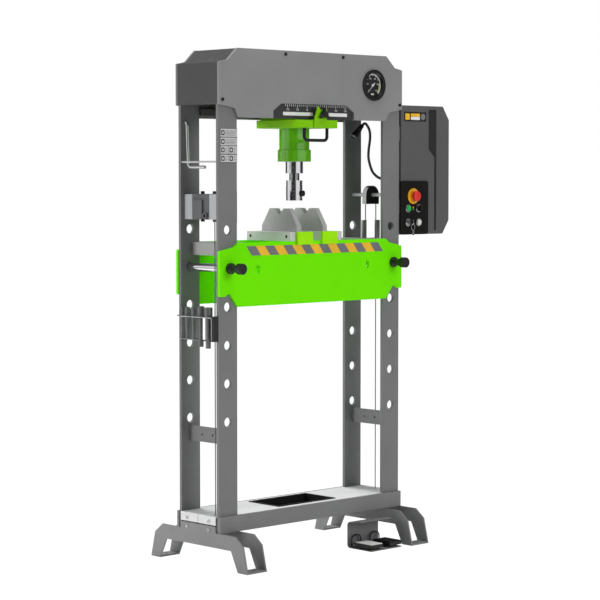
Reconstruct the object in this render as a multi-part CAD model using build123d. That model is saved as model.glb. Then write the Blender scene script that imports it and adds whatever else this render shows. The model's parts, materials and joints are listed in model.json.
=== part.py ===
from build123d import *
import math
import os

# Workshop press with a sliding hydraulic ram, millimetres.
# Origin on the floor under the middle of the frame: +X right, +Y back, +Z up.

# Frame of flat-bar uprights
frame_width = 940.0
upright_width = 90.0
upright_thickness = 12.0
upright_gap = 196.0
upright_top_drop = 10.0
hole_radius = 17.5
hole_pitch = 140.0
hole_count = 6
lowest_hole = 533.0
rows_below_pin_count = 4

# Plates that clasp the uprights at the front and at the back
beam_thickness = 12.0
side_overhang = 4.0

# Head
head_bottom = 1640.0
head_top = 1890.0
head_shoulder = 1838.0
head_skirt = 1686.0
skirt_slope_run = 74.0
skirt_slope_drop = 13.0
skirt_neck_run = 16.0
ramp_run = 41.0
ramp_rise = 8.0
head_chamfer_run = 47.0
cover_thickness = 3.0
cover_recess = 1.0
cover_lip = 22.0
window_half_width = 210.0
window_top = 1695.0
window_chamfer_run = 40.0
window_chamfer_rise = 27.0
scale_plate_thickness = 3.0
rail_width = 22.0
rail_bottom = 1650.0
rail_height = 25.0

# Pressure gauge in the head
gauge_inset = 159.0
gauge_z = 1776.0
gauge_case_radius = 51.0
gauge_bezel_radius = 60.0
gauge_bezel_thickness = 8.0
gauge_depth = 40.0
gauge_wall = 4.0
gauge_glass_thickness = 2.5
gauge_glass_inset = 2.0
gauge_dial_depth = 14.0
needle_length = 40.0
needle_tail = 12.0
needle_width = 4.0
needle_thickness = 1.5
needle_lift = 3.0
needle_hub_radius = 5.0
needle_start_angle = 135.0

# Base, deck and feet
base_bottom = 129.0
base_height = 60.0
deck_thickness = 4.0
deck_seam = 2.0
deck_fold_depth = 32.0
deck_side_clearance = 1.0
tray_length = 300.0
tray_width = 168.0
tray_rim = 10.0
tray_rim_thickness = 3.0
tray_wall = 2.5
tray_depth = 30.0
tray_clearance = 1.0
foot_thickness = 6.0
foot_half_length = 270.0
toe_width = 52.0
arch_half_length = 181.0
arch_height = 75.0
shoulder_half_length = 204.0
ankle_half_length = 247.0
ankle_height = 95.0
foot_tab_height = 24.0
foot_tab_clearance = 1.0
anchor_radius = 7.0
brace_thickness = 10.0
brace_bottom = 449.0
brace_height = 56.0
brace_hole_radius = 4.0
brace_hole_spacing = 58.0

# Cap screws
bolt_head_radius = 6.0
bolt_head_height = 5.0
bolt_shank_radius = 3.5
bolt_shank_length = 9.0
bolt_hole_clearance = 0.2
head_bolt_upper_x = 149.0
head_bolt_upper_drop = 14.0
head_bolt_lower_rise = 17.0
head_bolt_edge = 14.0
foot_bolt_y = 60.0
foot_bolt_rise = 9.0
deck_bolt_drop = 20.0

# Bolster
bolster_top = 1185.0
bolster_bottom = 952.0
bolster_step_run = 88.0
bolster_lobe_top = 1156.0
bolster_lobe_slope_run = 70.0
bolster_lobe_slope_rise = 14.0
bolster_lobe_bottom = 991.0
bolster_notch_run = 47.0
bolster_notch_rise = 13.0
bolster_lobe_foot_run = 26.0
bolster_edge_fillet = 6.0
keyhole_inset = 188.0
keyhole_z = 1094.0
keyhole_radius = 9.5
keyhole_slot_radius = 6.0
keyhole_slot_length = 17.0
pin_radius = 16.0
pin_hole_clearance = 0.5
pin_length = 270.0
grip_radius = 20.0
grip_neck_radius = 13.0
grip_length = 72.0
grip_socket_depth = 6.0
grip_flange_length = 12.0
grip_knob_length = 26.0
guide_height = 48.0
guide_inner_run = 50.0
guide_outer_run = 36.0
guide_clearance = 2.0
lift_leg_width = 22.0
lift_leg_thickness = 8.0
lift_leg_height = 70.0
lift_web_height = 12.0
tab_width = 78.0
tab_gap = 50.0
tab_shift = 7.0
tab_thickness = 12.0
tab_height = 48.0
tab_lap = 13.0

# Press bars and V blocks, set about the ram's axis
work_x = 11.0
bar_gap = 70.0
bar_width = 100.0
bar_length = 240.0
bar_height = 34.0
bar_hole_radius = 5.0
bar_hole_depth = 25.0
bar_hole_inset = 21.0
v_block_thickness = 22.0
v_block_pitch = 135.0
v_block_length = 196.0
v_block_top_length = 108.0
v_block_height = 87.0
v_block_foot_height = 21.0
v_notch_width = 44.0
v_notch_depth = 23.0

# Carriage that carries the cylinder along the head
carriage_width = 210.0
carriage_front = 137.0
carriage_back = 100.0
carriage_thickness = 30.0
carriage_fillet = 24.0
carriage_head_gap = 3.0
slide_length = 190.0
slide_side_clearance = 2.0
slide_flange_thickness = 24.0
slide_flange_width = 212.0
slide_rail_clearance = 0.3
pointer_thickness = 6.0
pointer_left = 20.0
pointer_right = 100.0
pointer_tip_z = 1689.0
pointer_ear_left = 12.0
pointer_ear_right = 44.0
pointer_ear_top = 1676.0
knob_x = 21.0
knob_z = 1658.0
knob_hub_radius = 11.0
knob_hub_length = 22.0
knob_wing_length = 24.0
knob_wing_radius = 6.0
knob_wing_root_radius = 9.0
knob_wing_count = 3
knob_stud_radius = 5.0
knob_stud_clearance = 0.3
knob_stud_tip_gap = 0.5
handle_rod_radius = 6.0
handle_half_span = 59.0
handle_drop = 46.0
handle_bend = 15.0
handle_inset = 9.0

# Hydraulic cylinder and ram
barrel_radius = 57.0
barrel_bottom = 1527.0
barrel_top = 1800.0
barrel_cap_thickness = 20.0
barrel_flange_radius = 76.0
barrel_flange_thickness = 12.0
barrel_fit = 0.2
bore_radius = 45.0
collar_radius = 63.0
collar_height = 45.0
rod_radius = 33.0
rod_bottom = 1438.0
running_fit = 0.05
piston_top = 1760.0
piston_height = 30.0
neck_radius = 19.0
neck_length = 27.0
chuck_radius = 31.0
chuck_height = 76.0
chuck_bore_radius = 16.0
chuck_bore_depth = 58.0
chuck_groove_depth = 1.5
chuck_groove_height = 3.0
chuck_groove_shares = (0.1, 0.75, 0.88)
chuck_screw_rise = 27.0
chuck_screw_radius = 5.0
chuck_screw_head_radius = 11.0
chuck_screw_head_length = 11.0
chuck_screw_angle = -75.0
chuck_screw_tip_gap = 1.0

# Winch, lift rope and pulleys
winch_face_inset = 16.0
winch_depth = 80.0
winch_bottom = 1269.0
winch_height = 93.0
winch_housing_back = 53.0
winch_housing_front = 40.0
winch_plate_thickness = 6.0
winch_plate_overhang = 10.0
winch_lug_inner = 31.0
winch_lug_outer = 81.0
winch_boss_radius = 12.0
winch_boss_length = 8.0
winch_hex_radius = 7.0
winch_boss_y = -23.0
winch_boss_rise = 14.0
winch_pad_front = -9.0
winch_pad_back = 43.0
winch_pad_height = 72.0
winch_pad_thickness = 8.0
rope_radius = 2.0
rope_left_inset = 22.0
rope_left_y = -66.0
rope_base_z = 145.0
base_pulley_radius = 16.0
pulley_z = 1354.0
pulley_radius = 29.0
pulley_flange = 2.5
pulley_width = 14.0
pulley_groove_width = 10.0
pulley_rope_clearance = 0.3
pulley_side_clearance = 0.5
pulley_case_wall = 3.0
pulley_case_gap = 1.5
axle_radius = 7.0
base_axle_radius = 5.0
deck_rope_hole_radius = 8.0
lift_rope_hole_radius = 5.0

# Crank stored in the rear upright, and the rod that keeps it there
crank_radius = 6.0
crank_inset = 18.0
crank_top = 1625.0
crank_bottom = 1460.0
crank_top_y = 83.0
crank_bottom_y = 75.0
crank_tail = 14.0
crank_handle_reach = 93.0
crank_bend = 14.0
crank_hole_clearance = 0.3
retainer_radius = 3.5
retainer_inset = 6.0
retainer_z = 1479.0

# Punch rack on the left side
rack_bracket_thickness = 12.0
rack_reach = 24.0
rack_bottom = 829.0
rack_height = 92.0
rack_axis_run = 4.0
rack_wire_half_spacing = 13.5
rack_wire_radius = 2.5
rack_wire_drop = 6.0
rack_wire_bend = 8.0
shelf_half_width = 10.0
shelf_front = 3.0
shelf_back = 93.0
shelf_thickness = 3.0
shelf_rise = 4.0
shelf_sink = 1.0
standing_count = 3
punch_shares = (0.88, 0.59, 0.235, -0.16, -0.59)
punch_collar_radii = (10.0, 9.5, 10.0, 12.8, 16.0)
punch_collar_heights = (30.0, 30.0, 30.0, 36.0, 33.0)
punch_shank_radii = (6.3, 9.0, 8.0, 8.0, 10.8)
punch_tip_radii = (5.8, 7.0, 6.6, 10.8, 9.5)
punch_tip_height = 24.0
punch_drops = (0.0, 0.0, 0.0, 112.0, 116.0)
punch_seat_gap = 0.3

# Work lamp on a bent metal hose
lamp_arm_radius = 5.5
lamp_base_radius = 18.0
lamp_base_length = 12.0
lamp_base_inset = 40.0
lamp_base_z = 1414.0
lamp_route_insets = (40.0, 40.0, 48.0, 59.0, 57.0, 49.0, 49.0, 68.0)
lamp_route_y = (-44.0, -6.0, 0.0, 0.0, 0.0, 0.0, 0.0, 0.0)
lamp_route_z = (1416.0, 1440.0, 1467.0, 1498.0, 1534.0, 1568.0, 1604.0, 1630.0)
lamp_arm_lead = 14.0
bend_share = 0.45
lamp_head_inset = 96.0
lamp_head_y = -3.0
lamp_head_z = 1625.0
lamp_head_forward = (-45.0, 4.0, -46.0)
lamp_head_radius = 15.0
lamp_neck_radius = 9.0
lamp_head_wall = 2.0
lamp_lens_depth = 6.0

# Control cabinet at the right side
cabinet_lug_height = 60.0
cabinet_lug_inset = 80.0
cabinet_width = 283.0
cabinet_bottom = 1198.0
cabinet_top = 1704.0
cabinet_back = 130.0
cabinet_split = -60.0
cabinet_front = -112.0
cabinet_wall = 3.0
cabinet_slant_start = -30.0
cabinet_slant_run = 166.0
cover_gap = 6.0
cover_chamfer_run = 36.0
cover_chamfer_rise = 54.0
channel_left_run = 164.0
channel_neck_run = 198.0
channel_right_run = 210.0
channel_end_gap = 14.0
channel_bend_high = 1534.0
channel_bend_low = 1503.0
channel_depth = 5.0
panel_width = 157.0
panel_top = 1408.0
panel_thickness = 8.0
panel_proud = 6.0
panel_fillet = 10.0
pack_clearance = 12.0
tank_height = 220.0
motor_radius = 55.0
motor_height = 190.0
motor_x_run = 216.0
motor_y = 60.0

# Push buttons and switches on the panel
estop_inset = 69.0
estop_z = 1349.0
estop_disc_radius = 30.0
estop_disc_thickness = 2.0
estop_head_radius = 20.0
estop_head_height = 14.0
estop_stem_radius = 10.0
estop_stand = 14.0
button_left_inset = 40.0
button_right_inset = 100.0
button_upper_z = 1301.0
button_lower_z = 1246.0
button_radius = 11.0
button_stand = 8.0
button_stem_length = 14.0
button_clearance = 0.3
ring_radius = 15.0
ring_thickness = 3.0
selector_radius = 11.0
selector_blade_width = 7.0
selector_blade_height = 10.0
key_blade_width = 3.0
key_bow_radius = 11.0
key_blade_length = 12.0

# Foot pedal unit
pedal_unit_inset = 207.0
pedal_unit_width = 166.0
pedal_front_y = -255.0
pedal_unit_depth = 130.0
hood_wall = 4.0
hood_height = 100.0
hood_rise = 8.0
hood_roof_depth = 74.0
hood_bend = 14.0
pedal_pivot_inset = 35.0
pedal_pivot_z = 15.0
pedal_shaft_radius = 4.0
pedal_gap = 36.0
pedal_block_clearance = 1.0
pedal_setback = 1.0
pedal_top = 24.0
pedal_thickness = 13.0
pedal_hub_radius = 8.0
pedal_fit = 0.1
pedal_cable_radius = 2.5
pedal_cable_height = 49.0
pedal_cable_span = 50.0
pedal_cable_bend = 20.0
pedal_cable_back = 16.0

# Lengths that serve every cut
overrun = 2.0

# Places worked out from the sizes above
half_frame = frame_width / 2
half_gap = upright_gap / 2
inner_edge = half_frame - upright_width
frame_face = half_gap + upright_thickness
beam_face = frame_face + beam_thickness
beam_half = half_frame + side_overhang
upright_top = head_shoulder - upright_top_drop
cabinet_left = beam_half
cabinet_right = cabinet_left + cabinet_width
cover_left = cabinet_left + cover_gap
panel_right = cabinet_left + panel_width
estop_x = cabinet_left + estop_inset
button_left_x = cabinet_left + button_left_inset
button_right_x = cabinet_left + button_right_inset
gauge_x = beam_half - gauge_inset
bolster_step_x = beam_half - bolster_step_run
bolster_notch_x = beam_half - bolster_notch_run
keyhole_x = beam_half - keyhole_inset
guide_inner_x = inner_edge - guide_inner_run
guide_outer_x = inner_edge + guide_outer_run
rope_left_x = half_frame - rope_left_inset
crank_x = half_frame - crank_inset
pedal_left_x = inner_edge - pedal_unit_inset
pin_front = -beam_face - grip_socket_depth
hole_x = half_frame - upright_width / 2
pulley_x = hole_x
pin_z = lowest_hole + rows_below_pin_count * hole_pitch
base_top = base_bottom + base_height
deck_bottom = base_top - deck_thickness
rail_top = rail_bottom + rail_height
rail_inner = frame_face - rail_width
carriage_top = head_bottom - carriage_head_gap
carriage_bottom = carriage_top - carriage_thickness
collar_bottom = barrel_bottom - collar_height
chuck_top = rod_bottom - neck_length
chuck_bottom = chuck_top - chuck_height
bar_top = bolster_top + bar_height
rope_right_x = pulley_x + pulley_radius
rope_end_x = pulley_x - pulley_radius
lift_web_bottom = bolster_top - lift_web_height
rack_top = rack_bottom + rack_height
rack_axis = half_frame + rack_axis_run
rack_wire_z = rack_top - rack_wire_drop
shelf_top = rack_bottom + shelf_rise
panel_face = cabinet_front - panel_proud
pedal_back_y = pedal_front_y + pedal_unit_depth
pedal_pivot_y = pedal_back_y - pedal_pivot_inset


def slab(low, high):
    """A box from its lowest corner to its highest."""
    size = [b - a for a, b in zip(low, high)]
    middle = [(a + b) / 2 for a, b in zip(low, high)]
    return Pos(*middle) * Box(*size)


def bar(start, end, radius):
    """A round bar from one point to another."""
    axis = Vector(*end) - Vector(*start)
    seat = Plane(origin=start, z_dir=axis)
    return seat * Cylinder(radius, axis.length, align=(Align.CENTER, Align.CENTER, Align.MIN))


def cone(start, end, start_radius, end_radius):
    """A tapered round bar from one point to another."""
    axis = Vector(*end) - Vector(*start)
    seat = Plane(origin=start, z_dir=axis)
    return seat * Cone(start_radius, end_radius, axis.length, align=(Align.CENTER, Align.CENTER, Align.MIN))


def across(points, y_front, y_back):
    """A plate standing across the machine, cut to an outline of (x, z) points."""
    face = Plane.XZ * make_face(Polyline(*points, close=True))
    return Pos(0, y_back, 0) * extrude(face, y_back - y_front, dir=(0, -1, 0))


def lengthwise(points, x_left, x_right):
    """A plate standing front to back, cut to an outline of (y, z) points."""
    face = Plane.YZ * make_face(Polyline(*points, close=True))
    return Pos(x_left, 0, 0) * extrude(face, x_right - x_left, dir=(1, 0, 0))


def mirrored_outline(right_side):
    """An outline that repeats the right side's (x, z) points on the left."""
    return right_side + [(-x, z) for x, z in reversed(right_side)]


def wire_tube(points, radii, radius):
    """A round wire along straight runs joined by arcs."""
    path = FilletPolyline(*points, radius=radii)
    start = Vector(*points[0])
    seat = Plane(origin=start, z_dir=Vector(*points[1]) - start)
    return sweep(seat * Circle(radius), path=path)


def turned(profile, axis_plane):
    """A turned piece: a profile of (radius, height) points about a plane's normal."""
    face = make_face(Polyline(*profile, close=True))
    return axis_plane * revolve(Plane.XZ * face, Axis.Z)


def facing_front(x, z, y):
    """A plane at a front surface that looks towards the operator."""
    return Plane(origin=(x, y, z), x_dir=(1, 0, 0), z_dir=(0, -1, 0))


def bolt(at, outward):
    """A cap screw with its head seated at a point."""
    out = Vector(*outward)
    seat = Vector(*at)
    head = bar(seat, seat + out * bolt_head_height, bolt_head_radius)
    shank = bar(seat - out * bolt_shank_length, seat, bolt_shank_radius)
    return head + shank


def bolt_hole(at, outward):
    """The clearance hole for one cap screw."""
    out = Vector(*outward)
    seat = Vector(*at)
    reach = bolt_shank_length + beam_thickness
    return bar(seat - out * reach, seat + out * overrun, bolt_shank_radius + bolt_hole_clearance)


def head_bolt_places():
    upper = head_top - head_bolt_upper_drop
    lower = head_skirt + head_bolt_lower_rise
    edge = beam_half - head_bolt_edge
    spots = [(-head_bolt_upper_x, upper), (head_bolt_upper_x, upper), (-edge, lower), (edge, lower)]
    return [((x, -beam_face, z), (0, -1, 0)) for x, z in spots]


def foot_bolt_places():
    rise = base_bottom + foot_bolt_rise
    face = half_frame + foot_thickness
    return [((s * face, y, rise), (s, 0, 0)) for s in (-1, 1) for y in (-foot_bolt_y, foot_bolt_y)]


def deck_bolt_places():
    drop = base_top - deck_bolt_drop
    face = half_frame + foot_thickness
    return [((s * face, y, drop), (s, 0, 0)) for s in (-1, 1) for y in (-foot_bolt_y, foot_bolt_y)]


def upright(side, front):
    """One flat-bar upright with its row of adjustment holes."""
    y_low = -frame_face if front else half_gap
    y_high = y_low + upright_thickness
    cut_from = y_low - overrun
    cut_to = y_high + overrun
    x_low, x_high = sorted((side * inner_edge, side * half_frame))
    post = slab((x_low, y_low, base_bottom), (x_high, y_high, upright_top))
    for row in range(hole_count):
        z = lowest_hole + row * hole_pitch
        post -= bar((side * hole_x, cut_from, z), (side * hole_x, cut_to, z), hole_radius)
    if side < 0 and not front:
        fit = crank_radius + crank_hole_clearance
        post -= bar((-crank_x, cut_from, crank_top), (-crank_x, cut_to, crank_top), fit)
    return post


def uprights():
    return Compound(children=[upright(side, front) for side in (-1, 1) for front in (True, False)])


def head_outline():
    top_half = beam_half - ramp_run - head_chamfer_run
    neck = beam_half - skirt_slope_run - skirt_neck_run
    return mirrored_outline([
        (neck, head_bottom),
        (neck + skirt_neck_run, head_skirt - skirt_slope_drop),
        (beam_half, head_skirt),
        (beam_half, head_shoulder),
        (beam_half - ramp_run, head_shoulder + ramp_rise),
        (top_half, head_top),
    ])


def window_outline(low):
    return mirrored_outline([
        (window_half_width, low),
        (window_half_width, window_top - window_chamfer_rise),
        (window_half_width - window_chamfer_run, window_top),
    ])


def head_front_plate():
    """Front plate of the head, with the scale window and the gauge hole."""
    plate = across(head_outline(), -beam_face, -frame_face)
    plate -= across(window_outline(head_bottom - overrun), -beam_face - overrun, -frame_face + overrun)
    plate -= bar((gauge_x, -beam_face - overrun, gauge_z), (gauge_x, -frame_face + overrun, gauge_z),
                 gauge_case_radius + running_fit)
    for at, outward in head_bolt_places():
        plate -= bolt_hole(at, outward)
    return plate


def head_rear_plate():
    return across(head_outline(), frame_face, beam_face)


def head_cover():
    """Folded sheet that closes the ends and the top of the head between its plates."""
    hood_points = [(x, z) for x, z in head_outline() if z >= head_skirt]
    hood = make_face(Polyline(*hood_points, close=True))
    outer = offset(hood, -cover_recess, kind=Kind.INTERSECTION)
    inner = offset(outer, -cover_thickness, kind=Kind.INTERSECTION)
    mouth_half = beam_half - cover_recess - cover_lip
    floor_z = head_skirt + cover_recess
    mouth = Pos(0, floor_z + cover_thickness / 2) * Rectangle(2 * mouth_half, cover_thickness + overrun)
    skin = Plane.XZ * (outer - inner - mouth)
    sheet = extrude(skin, frame_face, both=True)
    for side in (-1, 1):
        near = side * (inner_edge - overrun)
        far = side * half_frame
        x_low, x_high = sorted((near, far))
        for y in (-frame_face, half_gap):
            sheet -= slab((x_low, y - overrun, head_skirt - overrun),
                          (x_high, y + upright_thickness + overrun, floor_z + cover_thickness + overrun))
    return sheet


def carriage_rails():
    """Two bars inside the head that carry the sliding carriage."""
    front = slab((-inner_edge, -frame_face, rail_bottom), (inner_edge, -rail_inner, rail_top))
    return Compound(children=[front, mirror(front, about=Plane.XZ)])


def scale_plate():
    """Dark plate in the head's window, behind the pointer."""
    return across(window_outline(head_bottom), -frame_face - scale_plate_thickness, -frame_face)


def gauge_case():
    """Round gauge body with its flange, bored out from the front."""
    mouth = gauge_case_radius - gauge_wall
    dial = gauge_bezel_thickness - gauge_dial_depth
    profile = [
        (0, -gauge_depth), (gauge_case_radius, -gauge_depth), (gauge_case_radius, 0),
        (gauge_bezel_radius, 0), (gauge_bezel_radius, gauge_bezel_thickness),
        (mouth, gauge_bezel_thickness), (mouth, dial), (0, dial),
    ]
    return turned(profile, facing_front(gauge_x, gauge_z, -beam_face))


def gauge_glass():
    mouth = gauge_case_radius - gauge_wall
    high = gauge_bezel_thickness - gauge_glass_inset
    seat = facing_front(gauge_x, gauge_z, -beam_face)
    return seat * Pos(0, 0, high) * Cylinder(
        mouth, gauge_glass_thickness, align=(Align.CENTER, Align.CENTER, Align.MAX))


def gauge_needle():
    """Pointer of the gauge on its hub, standing at the start of the dial."""
    dial = gauge_bezel_thickness - gauge_dial_depth
    hub = Cylinder(needle_hub_radius, needle_lift, align=(Align.CENTER, Align.CENTER, Align.MIN))
    half = needle_width / 2
    corners = [(-half, -needle_tail), (half, -needle_tail), (0, needle_length)]
    blade = extrude(make_face(Polyline(*corners, close=True)), needle_thickness)
    needle = hub + Pos(0, 0, needle_lift) * blade
    seat = facing_front(gauge_x, gauge_z, -beam_face)
    return seat * Pos(0, 0, dial) * Rot(0, 0, needle_start_angle) * needle


def base_beams():
    """Front and rear beams of the base, resting on the feet."""
    front = slab((-beam_half, -beam_face, base_bottom), (beam_half, -frame_face, base_top))
    return Compound(children=[front, mirror(front, about=Plane.XZ)])


def deck_sheet(side):
    """Front or rear half of the deck, folded down at both ends."""
    seam = deck_seam / 2
    narrow = half_gap - deck_side_clearance
    end = half_frame + foot_thickness
    y_low, y_high = sorted((side * seam, side * narrow))
    sheet = slab((-end, y_low, deck_bottom), (end, y_high, base_top))
    wide = inner_edge - deck_side_clearance
    w_low, w_high = sorted((side * seam, side * frame_face))
    sheet += slab((-wide, w_low, deck_bottom), (wide, w_high, base_top))
    for x in (-end, end - deck_thickness):
        sheet += slab((x, y_low, base_top - deck_fold_depth), (x + deck_thickness, y_high, base_top))
    hole_half_x = tray_length / 2 - tray_rim
    hole_half_y = tray_width / 2 - tray_rim
    sheet -= slab((-hole_half_x, -hole_half_y, deck_bottom - overrun),
                  (hole_half_x, hole_half_y, base_top + overrun))
    for x, y in ((-rope_left_x, rope_left_y), (rope_right_x, 0)):
        sheet -= bar((x, y, deck_bottom - overrun), (x, y, base_top + overrun), deck_rope_hole_radius)
    for at, outward in deck_bolt_places():
        sheet -= bolt_hole(at, outward)
    return sheet


def deck_sheets():
    return Compound(children=[deck_sheet(side) for side in (-1, 1)])


def bin_tray():
    """Small-parts bin hanging by its rim in the deck."""
    rim = slab((-tray_length / 2, -tray_width / 2, base_top),
               (tray_length / 2, tray_width / 2, base_top + tray_rim_thickness))
    body_x = tray_length / 2 - tray_rim - tray_clearance
    body_y = tray_width / 2 - tray_rim - tray_clearance
    body = slab((-body_x, -body_y, base_top - tray_depth), (body_x, body_y, base_top))
    hollow = slab((tray_wall - body_x, tray_wall - body_y, base_top - tray_depth + tray_wall),
                  (body_x - tray_wall, body_y - tray_wall, base_top + tray_rim_thickness + overrun))
    return rim + body - hollow


def foot_outline():
    """Side of a foot as (y, z) points: two toes, an arch and a tab between the beams."""
    tab_half = half_gap - foot_tab_clearance
    half = [
        (arch_half_length, arch_height),
        (foot_half_length - toe_width, 0),
        (foot_half_length, 0),
        (ankle_half_length, ankle_height),
        (shoulder_half_length, base_bottom),
        (tab_half, base_bottom),
        (tab_half, base_bottom + foot_tab_height),
    ]
    return mirrored_outline(half)


def foot(side):
    """One folded foot: two arched plates, a web under the base and two toe straps."""
    outer = sorted((side * half_frame, side * (half_frame + foot_thickness)))
    inner = sorted((side * inner_edge, side * (inner_edge + foot_thickness)))
    body = lengthwise(foot_outline(), *outer)
    body += lengthwise(foot_outline(), *inner)
    x_low, x_high = sorted((side * inner_edge, side * half_frame))
    web_half = half_gap - foot_tab_clearance
    body += slab((x_low, -web_half, base_bottom - foot_thickness), (x_high, web_half, base_bottom))
    for end in (-1, 1):
        y_low, y_high = sorted((end * (foot_half_length - toe_width), end * foot_half_length))
        strap = slab((x_low, y_low, 0), (x_high, y_high, foot_thickness))
        middle = end * (foot_half_length - toe_width / 2)
        strap -= bar((side * hole_x, middle, -overrun), (side * hole_x, middle, foot_thickness + overrun),
                     anchor_radius)
        body += strap
    for at, outward in foot_bolt_places():
        if outward[0] == side:
            body -= bolt_hole(at, outward)
    rope_start = (-rope_left_x, rope_left_y, rope_base_z)
    rope_finish = (rope_right_x, 0, rope_base_z)
    return body - bar(rope_start, rope_finish, lift_rope_hole_radius)


def feet():
    return Compound(children=[foot(side) for side in (-1, 1)])


def lower_brace(side):
    """Flat bar between a front upright and the rear one."""
    x_low, x_high = sorted((side * (hole_x - brace_thickness / 2), side * (hole_x + brace_thickness / 2)))
    bar_piece = slab((x_low, -half_gap, brace_bottom), (x_high, half_gap, brace_bottom + brace_height))
    z = brace_bottom + brace_height / 2
    for end in (-1, 1):
        y = end * brace_hole_spacing / 2
        bar_piece -= bar((x_low - overrun, y, z), (x_high + overrun, y, z), brace_hole_radius)
    return bar_piece


def lower_braces():
    return Compound(children=[lower_brace(side) for side in (-1, 1)])


def frame_bolts():
    places = head_bolt_places() + foot_bolt_places() + deck_bolt_places()
    return Compound(children=[bolt(at, outward) for at, outward in places])


def bolster_plate(y_front, y_back):
    """Bolster plate with end lobes that lap the uprights, pin holes and keyholes."""
    notch_z = bolster_lobe_bottom + bolster_notch_rise
    outline = mirrored_outline([
        (bolster_step_x, bolster_bottom),
        (bolster_notch_x, notch_z),
        (beam_half - bolster_lobe_foot_run, bolster_lobe_bottom),
        (beam_half, bolster_lobe_bottom),
        (beam_half, bolster_lobe_top),
        (beam_half - bolster_lobe_slope_run, bolster_lobe_top + bolster_lobe_slope_rise),
        (bolster_step_x, bolster_top),
    ])
    plate = across(outline, y_front, y_back)
    corners = plate.edges().filter_by(Axis.Y)
    plate = fillet(corners, bolster_edge_fillet)
    for side in (-1, 1):
        plate -= bar((side * hole_x, y_front - overrun, pin_z), (side * hole_x, y_back + overrun, pin_z),
                     pin_radius + pin_hole_clearance)
        x = side * keyhole_x
        plate -= bar((x, y_front - overrun, keyhole_z), (x, y_back + overrun, keyhole_z), keyhole_radius)
        slot_end = keyhole_z - keyhole_slot_length
        plate -= slab((x - keyhole_slot_radius, y_front - overrun, slot_end),
                      (x + keyhole_slot_radius, y_back + overrun, keyhole_z))
        plate -= bar((x, y_front - overrun, slot_end), (x, y_back + overrun, slot_end), keyhole_slot_radius)
    return plate


def bolster_guide(side):
    """Spacer that joins the bolster plates and reaches in between the uprights."""
    low = bolster_top - guide_height
    seat = inner_edge - guide_clearance
    x_low, x_high = sorted((side * guide_inner_x, side * seat))
    guide = slab((x_low, -frame_face, low), (x_high, frame_face, bolster_top))
    n_low, n_high = sorted((side * seat, side * guide_outer_x))
    reach = half_gap - guide_clearance
    guide += slab((n_low, -reach, low), (n_high, reach, bolster_top))
    return guide


def lift_bracket():
    """Fork on the right guide where the lift rope ends and passes."""
    far = rope_right_x + lift_leg_width / 2
    near = rope_end_x - lift_leg_width / 2
    half = rope_radius + guide_clearance
    reach = half + lift_leg_thickness
    fork = slab((near, -reach, lift_web_bottom), (far, reach, bolster_top))
    top = bolster_top + lift_leg_height
    fork += slab((near, half, lift_web_bottom), (near + lift_leg_width, reach, top))
    fork += slab((far - lift_leg_width, -reach, lift_web_bottom), (far, -half, top))
    fork -= bar((rope_right_x, 0, lift_web_bottom - overrun), (rope_right_x, 0, top), lift_rope_hole_radius)
    return fork


def bolster_guides():
    return Compound(children=[bolster_guide(-1), bolster_guide(1) + lift_bracket()])


def stop_tab(side):
    """Stop welded to the front of the bolster, ahead of a press bar."""
    inner = tab_shift + side * tab_gap / 2
    x_low, x_high = sorted((inner, inner + side * tab_width))
    low = bolster_top - tab_lap
    return slab((x_low, -beam_face - tab_thickness, low), (x_high, -beam_face, low + tab_height))


def stop_tabs():
    return Compound(children=[stop_tab(side) for side in (-1, 1)])


def press_bar(side):
    """Loose bar across the bolster plates, with two tapped holes in its outer face."""
    inner = work_x + side * bar_gap / 2
    outer = inner + side * bar_width
    x_low, x_high = sorted((inner, outer))
    body = slab((x_low, -bar_length / 2, bolster_top), (x_high, bar_length / 2, bar_top))
    z = bolster_top + bar_height / 2
    for end in (-1, 1):
        y = end * (bar_length / 2 - bar_hole_inset)
        body -= bar((outer + side * overrun, y, z), (outer - side * bar_hole_depth, y, z), bar_hole_radius)
    return body


def press_bars():
    return Compound(children=[press_bar(side) for side in (-1, 1)])


def v_block(side):
    """Loose V block standing on a press bar."""
    top = bar_top + v_block_height
    outline = mirrored_outline([
        (v_block_length / 2, bar_top),
        (v_block_length / 2, bar_top + v_block_foot_height),
        (v_block_top_length / 2, top),
        (v_notch_width / 2, top),
    ])
    half = len(outline) // 2
    outline.insert(half, (0, top - v_notch_depth))
    middle = work_x + side * v_block_pitch / 2
    return lengthwise(outline, middle - v_block_thickness / 2, middle + v_block_thickness / 2)


def v_blocks():
    return Compound(children=[v_block(side) for side in (-1, 1)])


def pin(side):
    """Steel pin that carries one end of the bolster."""
    back = pin_front + pin_length
    return bar((side * hole_x, pin_front, pin_z), (side * hole_x, back, pin_z), pin_radius)


def pin_grip(side):
    """Waisted grip on the front end of a pin."""
    neck_end = grip_length - grip_knob_length
    profile = [
        (pin_radius, 0), (grip_radius, 0), (grip_radius, grip_flange_length),
        (grip_neck_radius, grip_flange_length + (grip_radius - grip_neck_radius)),
        (grip_neck_radius, neck_end), (grip_radius, neck_end), (grip_radius, grip_length), (0, grip_length),
        (0, grip_socket_depth), (pin_radius, grip_socket_depth),
    ]
    return turned(profile, facing_front(side * hole_x, pin_z, -beam_face))


def carriage_plate():
    """Plate under the head that hangs from the slide and holds the cylinder."""
    plate = slab((-carriage_width / 2, -carriage_front, carriage_bottom),
                 (carriage_width / 2, carriage_back, carriage_top))
    plate = fillet(plate.edges().filter_by(Axis.Z), carriage_fillet)
    fit = barrel_radius + barrel_fit
    return plate - bar((work_x, 0, carriage_bottom - overrun), (work_x, 0, carriage_top + overrun), fit)


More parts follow.
